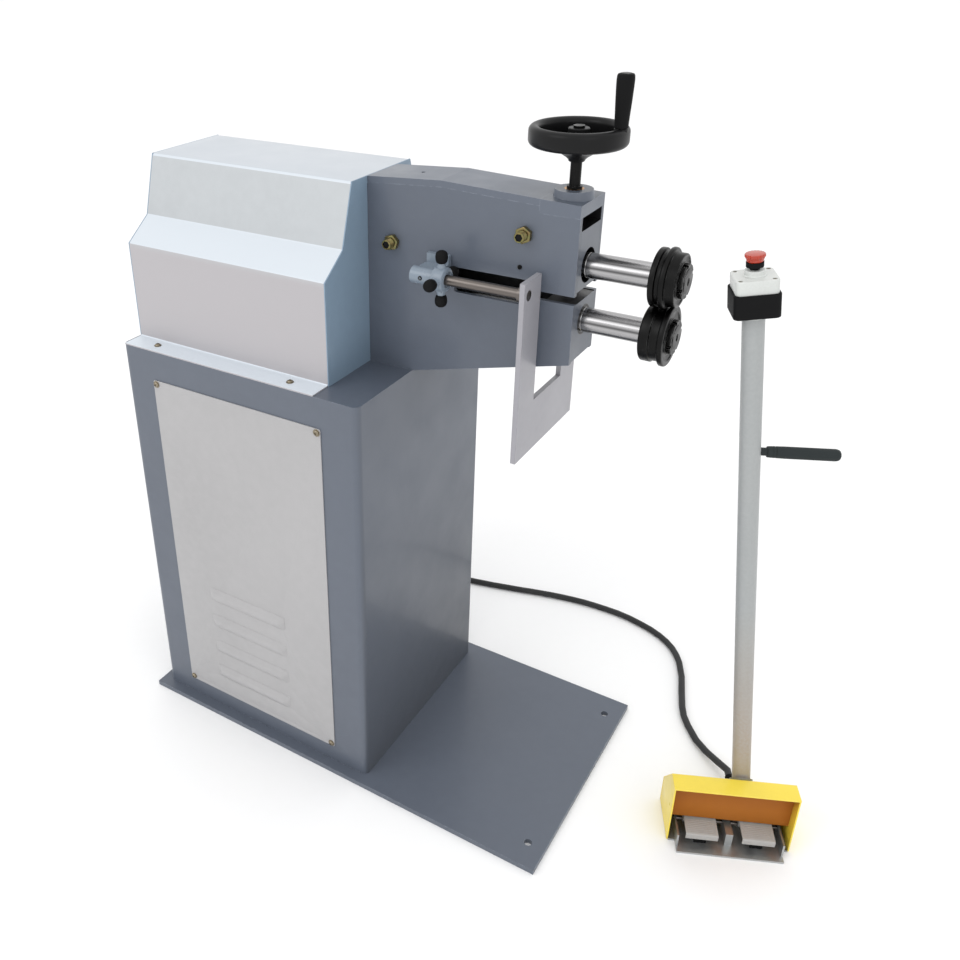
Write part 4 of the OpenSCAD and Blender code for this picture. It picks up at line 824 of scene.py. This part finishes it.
def louvre_mesh(depth):
    """A pressed bulge with its mouth below, rounded over at its top and both ends; it stands out along -Y."""
    length, height, end = LOUVRE_LENGTH, LOUVRE_HEIGHT, LOUVRE_END
    columns = [end * (1 - math.cos(k * math.pi / 16)) for k in range(8)]
    columns += [end + (length - 2 * end) * k / 6 for k in range(7)] + [length - c for c in reversed(columns)]
    rows = [height * k / 12 for k in range(13)]
    bm = bmesh.new()
    grid = []
    for z in rows:
        share = z / height
        if share > LOUVRE_CREST:
            rise = math.cos((share - LOUVRE_CREST) / (1 - LOUVRE_CREST) * math.pi / 2) ** 1.3
        else:
            rise = 1 - LOUVRE_DROP * ((LOUVRE_CREST - share) / LOUVRE_CREST) ** 1.7
        line = []
        for x in columns:
            near = min(x, length - x, end) / end
            line.append(bm.verts.new((x, -depth * math.sin(near * math.pi / 2) * max(0.0, rise), z)))
        grid.append(line)
    for a, b in zip(grid, grid[1:]):
        for k in range(len(columns) - 1):
            bm.faces.new((a[k], a[k + 1], b[k + 1], b[k]))
    bmesh.ops.recalc_face_normals(bm, faces=bm.faces)
    bmesh.ops.solidify(bm, geom=bm.faces[:], thickness=LOUVRE_SHEET)
    return to_mesh(bm, "louvre")


class BeadRollerSidePanel(PieceOperator):
    """The panel with its four pressed louvres"""
    bl_idname = "bead_roller.side_panel"
    bl_label = "Louvred panel"

    def build(self):
        loops = [rounded_rectangle(*PANEL_BOX, PANEL_CORNER)]
        loops += [rounded_rectangle(-0.26, -0.1, z + 0.0005, z + 0.01, 0.003) for z in LOUVRE_Z]
        loops += [ring(0.0033, 20, place) for place in PANEL_SCREWS]
        parts = [(plate_mesh(loops, 0, sizes().sheet, 0.0004), at(0, PANEL_BACK, 0, AGAINST_Y))]
        for z in LOUVRE_Z:
            parts.append((louvre_mesh(sizes().louvre_depth), at(LOUVRE_X, LOUVRE_Y, z)))
        piece("side_panel_sheet", joined(parts), "panel_paint", "side_panel", angle=50)


class BeadRollerSheetScrews(PieceOperator):
    """Round-head screws of the panel and the cover, each with a cross recess and a washer"""
    bl_idname = "bead_roller.sheet_screws"
    bl_label = "Sheet screws"

    def build(self):
        head = turned_mesh(mm((0, -9.5), (2.2, -9.5), (2.8, -8), (2.8, 1), (4.9, 1), (5, 1.7), (4.5, 2.8),
                              (3.3, 3.6), (1.7, 4), (0, 4)), 32)
        bars = [block_mesh((-x, -y, 0.0022), (x, y, 0.006), 0.0002, 1) for x, y in mm((2.4, 0.6), (0.6, 2.4))]
        head = carved(head, *bars)
        washer = turned_mesh(mm((3, 0), (6.3, 0), (6.5, 0.3), (6.5, 0.8), (6.2, 1), (3, 1)), 32)
        screw = joined([(head, at()), (washer, at())])
        places = [at(x, PANEL_FRONT, z, AGAINST_Y @ spin(x * 40)) for x, z in PANEL_SCREWS]
        places += [at(x, y, FLANGE_TOP, spin(y * 9 + x * 30)) for x, y in COVER_SCREWS]
        screws = joined([(screw.copy(), place) for place in places])
        piece("sheet_screw_set", screws, "screw_steel", "sheet_screws")
        bpy.data.meshes.remove(screw)


class BeadRollerCover(PieceOperator):
    """The gear cover, folded from one sheet, with a flange on each side"""
    bl_idname = "bead_roller.cover"
    bl_label = "Gear cover"

    def build(self):
        half = mm((86, 1102), (116, 1002), (167, 964), (167, 792), (209, 792))
        outer = [(-y, z) for y, z in reversed(half)] + half
        bend = sizes().bend
        outer = filleted(outer, [0, 0.003, bend, bend, bend, bend, bend, bend, 0.003, 0], 5, closed=False)
        sheet = plate_mesh([band(outer, -sizes().sheet)], *COVER_ENDS)
        piece("gear_cover_sheet", joined([(sheet, at(turn=ALONG_X))]), "cover_paint", "gear_cover", angle=28)


# Arm: bolts and small fittings

THREADS, THREAD_FROM, PITCH = 7, 0.0094, 0.0015
STUD_SOCKET, SOCKET_FROM, SOCKET_SHADE_TOP = 0.0106, 0.0115, 0.0196
NUT_ACROSS, NUT_HEIGHT, NUT_HOLE = 0.0225, 0.009, 0.0078
NUT_TURN = 0.2


def bolt_end_meshes():
    """A threaded stud end that runs back through the plate, its nut and a dark plug in its hexagon socket as
    painted shade in the hole.
    """
    thread = []
    for k in range(THREADS):
        low = THREAD_FROM + k * PITCH
        thread += [(0.0075, low), (0.008, low + 0.0007)]
    profile = mm((0, -15), (6.8, -15), (6.8, -8.2), (7.9, -7.8), (7.9, 8.5)) + thread
    profile += mm((7.9, 20.2), (7.2, 20.9), (6.4, 21), (0, 21))
    stud = carved(turned_mesh(profile, 48), plate_mesh([hexagon(STUD_SOCKET)], SOCKET_FROM, 0.024))
    # Painted shade: a dark plug that fills most of the hexagon socket's depth.
    floor = plate_mesh([hexagon(STUD_SOCKET - 0.0002)], SOCKET_FROM, SOCKET_SHADE_TOP)
    return stud, nut_mesh(NUT_ACROSS, NUT_HEIGHT, NUT_HOLE), floor


BOLTS = (("trunnion_bolt_set", "trunnion_bolts", 0.047, UPPER_Z), ("tie_bolt_set", "tie_bolt", 0.27, 1.049))


class BeadRollerBolts(PieceOperator):
    """Trunnion bolts and the tie bolt through the arm"""
    bl_idname = "bead_roller.bolts"
    bl_label = "Arm bolts"

    def build(self):
        for name, node, x, z in BOLTS:
            parts, socket_shades = [], []
            for y, turn in ((ARM_HALF, ALONG_Y), (-ARM_HALF, AGAINST_Y)):
                stud, nut, floor = bolt_end_meshes()
                place = at(x, y, z, turn)
                parts += [(stud, place), (nut, at(x, y, z, turn @ spin(NUT_TURN + x)))]
                socket_shades.append((floor, place))
            if node == "tie_bolt":
                tube = turned_mesh(mm((6, -36), (8.6, -36), (9, -35.6), (9, 35.6), (8.6, 36), (6, 36)), 40)
                rod = turned_mesh(mm((0, -40), (5.9, -40), (5.9, 40), (0, 40)), 40)
                parts += [(tube, at(x, 0, z, ALONG_Y)), (rod, at(x, 0, z, ALONG_Y))]
            piece(name, joined(parts), "passivated_zinc", node)
            # Painted shade: the dark plugs in the hexagon sockets.
            piece(name + "_socket_shade", joined(socket_shades), "black_plastic", node, extra=True)


# Shafts and rollers

SHAFTS = (("lower_shaft", LOWER_Z, 0.488), ("upper_shaft", UPPER_Z, 0.493))


class BeadRollerShafts(PieceOperator):
    """Both ground shafts"""
    bl_idname = "bead_roller.shafts"
    bl_label = "Shafts"

    def build(self):
        for node, z, end in SHAFTS:
            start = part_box(node)[0][0]
            r = SHAFT_R
            profile = [(0, start + 0.006), (0.0022, start + 0.006), (0.005, start + 0.0008), (0.006, start),
                       (r - 0.0012, start), (r, start + 0.0012), (r, 0.354), (r - 0.0004, 0.3546),
                       (r - 0.0004, 0.356), (r, 0.3566), (r, end - 0.001), (r - 0.001, end), (0, end)]
            piece(node + "_bar", turned_mesh(profile, 96), "ground_steel", node, at(0, 0, z, ALONG_X))


ROLLER_WIDTH = 0.036
UPPER_STEPS = [(SHAFT_R, 0), *mm(
    (42, 0), (42, 8.3), (37.7, 8.3), (37.7, 14.4), (44.4, 14.4), (44.4, 22.5), (38.2, 22.5), (38.2, 36),
    (35, 36), (33.5, 34.5), (27.5, 34.5), (26, 36)), (SHAFT_R, ROLLER_WIDTH)]
UPPER_ROUNDS = (0, 0.002, 0.0015, 0.0015, 0.0015, 0.0034, 0.0034, 0.0015, 0.0026, 0, 0, 0, 0, 0)
LOWER_STEPS = [(SHAFT_R, 0), *mm(
    (41.3, 0), (41.3, 15.1), (38.9, 15.1), (38.9, 28.4), (44.4, 28.4), (44.4, 36), (37, 36), (35.5, 34.5),
    (27.5, 34.5), (26, 36)), (SHAFT_R, ROLLER_WIDTH)]
LOWER_ROUNDS = (0, 0.003, 0.001, 0.003, 0.003, 0.002, 0.0022, 0, 0, 0, 0, 0)
ROLLERS = (("lower", LOWER_STEPS, LOWER_ROUNDS, 0.448, LOWER_Z),
           ("upper", UPPER_STEPS, UPPER_ROUNDS, 0.453, UPPER_Z))


class BeadRollerRollers(PieceOperator):
    """The two stepped rollers and the ring nuts in front of them"""
    bl_idname = "bead_roller.rollers"
    bl_label = "Rollers"

    def build(self):
        for side, outline, radii, x, z in ROLLERS:
            place = at(x, 0, z, ALONG_X)
            steps = turned_mesh(filleted(outline, radii, 5), 128)
            piece(side + "_roller_steps", steps, "black_steel", side + "_roller", place, angle=40)
            cap = turned_mesh([(0, 0.0026), (SHAFT_R, 0.0026), (SHAFT_R, 0)] + mm(
                (24, 0), (25, 1), (25, 5.8), (24, 7), (18.5, 7), (18, 7.9), (17.2, 8), (6, 8), (5, 6.6),
                (0, 6.6)), 96)
            notches = []
            for k in range(4):
                notch = block_mesh((0.0212, -0.0031, -0.002), (0.029, 0.0031, 0.01), 0.0004, 1)
                notch.transform(spin(k * math.pi / 2 + 0.3))
                notches.append(notch)
            place = at(x + ROLLER_WIDTH, 0, z, ALONG_X)
            piece(side + "_ring_nut", carved(cap, *notches), "black_steel", side + "_lock_nut", place)


# Handwheel

RIM_R, RIM_T, RIM_H = 0.061, 0.008, 0.006


class BeadRollerHandwheel(PieceOperator):
    """The dished handwheel and its revolving handle"""
    bl_idname = "bead_roller.handwheel"
    bl_label = "Handwheel"

    def build(self):
        outline = mm((8.1, 10), (14, 10), (15, 9), (15.5, -6), (23, -15), (54, -7.6))
        rim = []
        for way, count in ((1, 12), (-1, 10)):
            rim.append((RIM_R - way * RIM_T, -way * RIM_H))
            for k in range(count):
                angle = k * math.pi / 12
                rim.append((RIM_R - way * RIM_T * math.cos(angle), way * (RIM_H + RIM_T * math.sin(angle))))
        under = mm((30, -21.5), (24, -24.5), (16, -29.5), (12.2, -33), (11.5, -35), (10.5, -36), (8.1, -36))
        wheel = turned_mesh(filleted(outline, [0, 0, 0, 0.006, 0.006, 0], 4, closed=False) + rim + under, 128)
        lug = turned_mesh(mm((0, -6), (9.5, -6), (9.5, 13.2), (8.7, 14), (0, 14)), 48)
        casting = joined([(wheel, at()), (lug, at(HANDLE_OUT))])
        piece("handwheel_casting", casting, "wheel_enamel", "handwheel", at(SCREW_X, 0, WHEEL_Z), angle=35)
        barrel = turned_mesh(mm(
            (4.2, 0.3), (8.8, 0.3), (9.6, 1), (9.4, 4), (10, 16), (11, 35), (11.8, 54), (12, 63),
            (11.6, 67.5), (10.6, 69.7), (9, 70.3), (7.3, 70.3), (7.3, 67.7), (4.2, 67.7)), 56)
        place = at(SCREW_X + HANDLE_OUT, 0, HANDLE_Z)
        piece("wheel_handle_barrel", barrel, "black_plastic", "wheel_handle", place)


# Depth gauge

class BeadRollerStarHandle(PieceOperator):
    """The star handle that clamps the gauge rod, and the small screw in its bracket"""
    bl_idname = "bead_roller.star_handle"
    bl_label = "Star handle"

    def build(self):
        centre = at(STAR_X - 0.01, ROD_Y, ROD_Z, ALONG_X)
        hub = turned_mesh(mm(
            (8.1, 0), (16.5, 0), (18.6, 1.2), (19, 2.6), (19, 17.4), (18.6, 18.8), (16.5, 20), (11.5, 20),
            (10.5, 18.6), (8.1, 18.6)), 72)
        arms, knobs = [(hub, centre)], []
        for k in range(4):
            turn = at(STAR_X, ROD_Y, ROD_Z, spin(k * math.pi / 2, "X"))
            arm = turned_mesh(mm((0, 12), (7, 12), (7, 20), (6.2, 22.2), (6, 24.7), (0, 24.7)), 32)
            arms.append((arm, turn))
            knob = turned_mesh(mm((0, 25), (6.2, 25), (8, 26.6), (9.2, 30.4), (9.5, 34.5), (9.1, 38.2),
                                  (7.8, 41.2), (5.2, 43.2), (2, 44), (0, 44)), 40)
            knobs.append((knob, turn))
        piece("star_handle_hub", joined(arms), "hub_paint", "star_hub")
        piece("star_handle_knobs", joined(knobs), "black_plastic", "star_knobs", angle=50)
        grub = turned_mesh(mm((0, -4), (3.4, -4), (3.4, 0.6), (2.8, 1.1), (0, 1.1)), 28)
        grub = carved(grub, plate_mesh([hexagon(0.0034)], -0.0015, 0.003))
        piece("bracket_grub_screw", grub, "black_steel", "gauge_bracket", GRUB, extra=True)


# Foot control

GUARD_HALF, GUARD_WALL = 0.103, 0.0025
GUARD_SIDES = (-0.1028, 0.1003)
HINGE_Y, HINGE_Z, PEDAL_TILT = 0.032, 0.022, math.radians(5)
PEDAL_HALF, PEDAL_SHEET, CHEEK_WALL = 0.027, 0.003, 0.004
RIBS, RIB_FROM, RIB_STEP = 8, -0.0062, 0.0036


class BeadRollerHood(PieceOperator):
    """The folded guard over the pedals, with its partition"""
    bl_idname = "bead_roller.hood"
    bl_label = "Pedal guard"

    def build(self):
        path = filleted(mm((0, 125), (35, 125), (90, 58), (90, 1)), [0, 0.005, 0.005, 0], 5, closed=False)
        sheet = plate_mesh([band(path, -GUARD_WALL)], -GUARD_HALF, GUARD_HALF, 0.0004)
        sheet.transform(FOOT @ ALONG_X)
        pole_hole = turned_mesh(mm((0, -80), (16.5, -80), (16.5, 10), (0, 10)), 48)
        pole_hole.transform(POLE)
        parts = [(carved(sheet, pole_hole), at())]
        side = filleted(mm((0.4, 1), (87.8, 1), (87.8, 57.1), (34.3, 122.8), (0.4, 122.8)),
                        [0.002, 0.001, 0.004, 0.004, 0.0005], 4)
        for x in GUARD_SIDES:
            parts.append((plate_mesh([side], 0, GUARD_WALL, 0.0005), FOOT @ at(x, 0, 0, ALONG_X)))
        piece("pedal_hood_sheet", joined(parts), "guard_paint", "pedal_hood", angle=35)
        # The partition stands where the guard's inside shows only shade, and carries painted shade.
        partition = block_mesh((-0.1003, 0.0215, 0.04), (0.1003, 0.024, 0.1226), 0.0006, 2)
        piece("pedal_hood_partition", partition, "guard_shade", "pedal_hood", FOOT, extra=True)


class BeadRollerPedals(PieceOperator):
    """Both folded pedals with their ribbed treads"""
    bl_idname = "bead_roller.pedals"
    bl_label = "Pedals"

    def build(self):
        hinge = FOOT @ at(0, HINGE_Y, HINGE_Z, spin(PEDAL_TILT, "X")) @ at(0, -HINGE_Y, -HINGE_Z)
        for side, x in (("left", -0.047), ("right", 0.047)):
            fold = filleted(mm((-10, 25), (-10, 37), (38, 37)), [0, 0.003, 0], 5, closed=False)
            plate = plate_mesh([band(fold, -PEDAL_SHEET)], x - PEDAL_HALF, x + PEDAL_HALF, 0.0005)
            parts = [(plate, hinge @ ALONG_X)]
            cheek = filleted(mm((25, 34.5), (25, 24), (29, 16), (38, 16), (38, 34.5)),
                             [0, 0.003, 0.003, 0.003, 0], 4)
            for x0 in (x - 0.0268, x + 0.0228):
                parts.append((plate_mesh([cheek], 0, CHEEK_WALL, 0.0004), hinge @ at(x0, 0, 0, ALONG_X)))
            for k in range(RIBS):
                y = RIB_FROM + k * RIB_STEP
                rib = block_mesh((x - 0.0235, y, 0.0364), (x + 0.0235, y + 0.0012, 0.0375), 0.0004, 2)
                parts.append((rib, hinge))
            piece(side + "_pedal_plate", joined(parts), "pedal_paint", side + "_pedal")


class BeadRollerPole(PieceOperator):
    """The pole with its collar and side grip"""
    bl_idname = "bead_roller.pole"
    bl_label = "Pole"

    def build(self):
        tube = turned_mesh(mm((13, -119), (15, -119), (15, 852.5), (14.6, 853), (13, 853)), 72)
        piece("pole_tube", tube, "pole_paint", "pole", POLE)
        collar = turned_mesh(mm((15.1, 848.5), (17, 848.5), (17.4, 849), (17.4, 853.7), (15.1, 853.7)), 72)
        piece("pole_collar", collar, "white_plastic", "pole", POLE, extra=True)
        grip = mm((0, 8), (6, 8), (6, 22.6), (7.2, 23), (8.2, 24))
        for low in (0.03, 0.0345):
            grip += [(0.0086, low), (0.0082, low + 0.0004), (0.0082, low + 0.0012), (0.0087, low + 0.0016)]
        grip += mm((9, 48), (9, 117), (8.7, 119.5), (7.8, 122), (6.2, 123.8), (4, 124.8), (0, 125))
        way = FOOT @ at(POLE_X - GRIP_UP * math.tan(POLE_LEAN), POLE_Y, POLE_Z + GRIP_UP, ALONG_X)
        piece("pole_grip_sleeve", turned_mesh(grip, 40), "grip_plastic", "pole_grip", way)


WELL_X, WELL_Y = 0.0215, 0.02
FLUTE_DEPTH, FLUTE_FROM = 0.0008, 0.0115


class BeadRollerSwitch(PieceOperator):
    """The switch box, its lid and the stop button's head"""
    bl_idname = "bead_roller.switch"
    bl_label = "Stop switch"

    def build(self):
        outline = rounded_rectangle(-0.0305, 0.0305, -0.029, 0.029, 0.008, 8)
        body = plate_mesh([outline], 0, 0.0337, 0.0012, 3)
        piece("switch_box_shell", body, "black_plastic", "switch_box", POLE @ at(0, 0, BOX_UP))
        outline = rounded_rectangle(-0.028, 0.028, -0.0265, 0.0265, 0.0075, 8)
        lid = plate_mesh([outline], -0.001, 0.019, 0.0016, 3)
        wells = [turned_mesh(mm((0, 16.5), (3.1, 16.5), (3.1, 22), (0, 22)), 24) for _ in range(4)]
        places = [(x, y) for x in (-WELL_X, WELL_X) for y in (-WELL_Y, WELL_Y)]
        for well, (x, y) in zip(wells, places):
            well.transform(at(x, y, 0))
        lid = carved(lid, *wells)
        neck = turned_mesh(mm(
            (6.1, 12), (15, 18.8), (15, 20.2), (13.7, 21.2), (13.5, 22.2), (13.5, 26.2), (12.6, 27),
            (6.1, 27)), 64)
        piece("switch_lid_shell", joined([(lid, at()), (neck, at())]), "white_plastic", "switch_lid", LID)
        screws = []
        for x, y in places:
            head = turned_mesh(mm((0, 16.6), (2.8, 16.6), (2.8, 17.8), (2.2, 18.3), (0, 18.5)), 24)
            slit = block_mesh((-0.0024, -0.0004, 0.0175), (0.0024, 0.0004, 0.02), 0.0001, 1)
            head = carved(head, slit)
            screws.append((head, at(x, y, 0, spin(x * 40 + y * 70))))
        piece("switch_lid_screws", joined(screws), "screw_steel", "switch_lid", LID, extra=True)
        head = turned_mesh(mm(
            (5.2, 0), (10.6, 0), (11, 0.5), (11.2, 1.8), (12.2, 5.2), (13.2, 6.5), (13.5, 7.4), (13.4, 9.3),
            (12.6, 10.5), (10, 10.9), (0, 11), (0, 6.2), (5.2, 6.2)), 144, sizes().rim_flutes, FLUTE_DEPTH,
            FLUTE_FROM)
        piece("stop_button_head", head, "red_plastic", "stop_head", POLE @ at(0, 0, BUTTON_UP))


GLANDS = (at(-0.2, 0.209, 0.07, ALONG_Y), at(-0.419, 0, 0.15, AGAINST_X),
          FOOT @ at(0.024, 0.09, 0.025, ALONG_Y))


class BeadRollerGlands(PieceOperator):
    """Cable glands with a hexagon, a ribbed dome nut and a bend sleeve"""
    bl_idname = "bead_roller.glands"
    bl_label = "Cable glands"

    def build(self):
        sleeve = mm((6.6, 22.5), (9.8, 22.5), (9.8, 24))
        for k in range(5):
            low, r = 0.025 + k * 0.004, 0.0095 - k * 0.0004
            sleeve += [(r - 0.0008, low), (r - 0.0008, low + 0.0012), (r, low + 0.0016), (r, low + 0.0036)]
        sleeve += mm((7.4, 45.2), (7.1, 46), (6.6, 46))
        parts = []
        for place in GLANDS:
            dome = turned_mesh(mm((6.6, 10), (11.5, 10), (11.5, 18), (11.1, 20.5), (10.3, 22.2), (9.4, 23),
                                  (6.6, 23)), 96, 16, 0.0009, 0.011)
            stub = turned_mesh(mm((6.6, -8), (7.9, -8), (7.9, 0.4), (6.6, 0.4)), 32)
            meshes = (nut_mesh(0.0225, 0.01, 0.0066), dome, turned_mesh(sleeve, 40), stub)
            parts += [(mesh, place) for mesh in meshes]
        piece("cable_gland_set", joined(parts), "black_plastic", "cable_glands")


# Frame nodes that keep their shape

class BeadRollerFrameFinish(PieceOperator):
    """Paint and metal on the pieces that keep the frame's own shape"""
    bl_idname = "bead_roller.frame_finish"
    bl_label = "Frame finishes"

    def build(self):
        edge = sizes().edge
        for material, width, segments, nodes in (
                ("body_paint", 0.0015, 2, "base_plate"),
                ("pedestal_paint", 0.0025, 3, "pedestal_shell"),
                ("end_paint", 0.0004, 2, "cover_end_front cover_end_rear"),
                ("arm_paint", 0.0005, 2, "arm_plate_near arm_plate_far"),
                ("arm_paint", edge, 3, "lower_front_block lower_rear_block"),
                ("arm_top_paint", 0.0005, 2, "arm_top_plate arm_nose_cap"),
                ("block_paint", edge, 3, "pressure_block"),
                ("hub_paint", edge, 3, "gauge_bracket"),
                ("fence_paint", edge, 3, "fence"),
                ("motor_paint", 0, 0, "gear_reducer motor"),
                ("black_steel", 0, 0, "motor_cowl lower_gear upper_gear upper_rear_block oil_nipples"),
                ("black_steel", 0, 0, "pressure_screw lower_bushes ball_bush handle_pin"),
                ("grey_plastic", 0.002, 2, "terminal_box relay_box"),
                ("bronze", 0, 0, "screw_nut upper_rear_bush"),
                ("rod_steel", 0, 0, "gauge_rod pedal_pin"),
                ("zinc_plate", 0.0004, 2, "foot_base"),
                ("pole_paint", 0.0004, 2, "pole_socket"),
                ("ring_plastic", 0, 0, "pole_grommet"),
                ("black_plastic", 0.0003, 2, "pedal_switches stop_stem")):
            for node in nodes.split():
                carry_over(node, material, width, segments)


OPERATORS = (BeadRollerStage, BeadRollerCable, BeadRollerSidePanel, BeadRollerSheetScrews, BeadRollerCover,
             BeadRollerBolts, BeadRollerShafts, BeadRollerRollers, BeadRollerHandwheel, BeadRollerStarHandle,
             BeadRollerHood, BeadRollerPedals, BeadRollerPole, BeadRollerSwitch, BeadRollerGlands,
             BeadRollerFrameFinish)


class BeadRollerPanel(Panel):
    """Buttons that build the machine, and its sizes and colours"""
    bl_idname = "VIEW3D_PT_bead_roller"
    bl_label = "Bead roller"
    bl_space_type = "VIEW_3D"
    bl_region_type = "UI"
    bl_category = "Bead roller"

    def draw(self, context):
        for operator in OPERATORS:
            self.layout.operator(operator.bl_idname)
        for group in GROUPS:
            box = self.layout.box()
            values = getattr(context.scene, GROUPS[group])
            for key in group.__annotations__:
                box.prop(values, key)


GROUPS = {
    BeadRollerPaints: "bead_roller_paints",
    BeadRollerMetals: "bead_roller_metals",
    BeadRollerPlastics: "bead_roller_plastics",
    BeadRollerSizes: "bead_roller_sizes",
    BeadRollerStudio: "bead_roller_studio",
}


def register():
    for group, name in GROUPS.items():
        bpy.utils.register_class(group)
        setattr(bpy.types.Scene, name, PointerProperty(type=group))
    for operator in OPERATORS:
        bpy.utils.register_class(operator)
    bpy.utils.register_class(BeadRollerPanel)


def unregister():
    bpy.utils.unregister_class(BeadRollerPanel)
    for operator in reversed(OPERATORS):
        bpy.utils.unregister_class(operator)
    for group, name in reversed(list(GROUPS.items())):
        delattr(bpy.types.Scene, name)
        bpy.utils.unregister_class(group)


def main():
    register()
    for operator in OPERATORS:
        family, name = operator.bl_idname.split(".")
        getattr(getattr(bpy.ops, family), name)()
    bpy.context.view_layer.update()


if __name__ == "__main__":
    main()
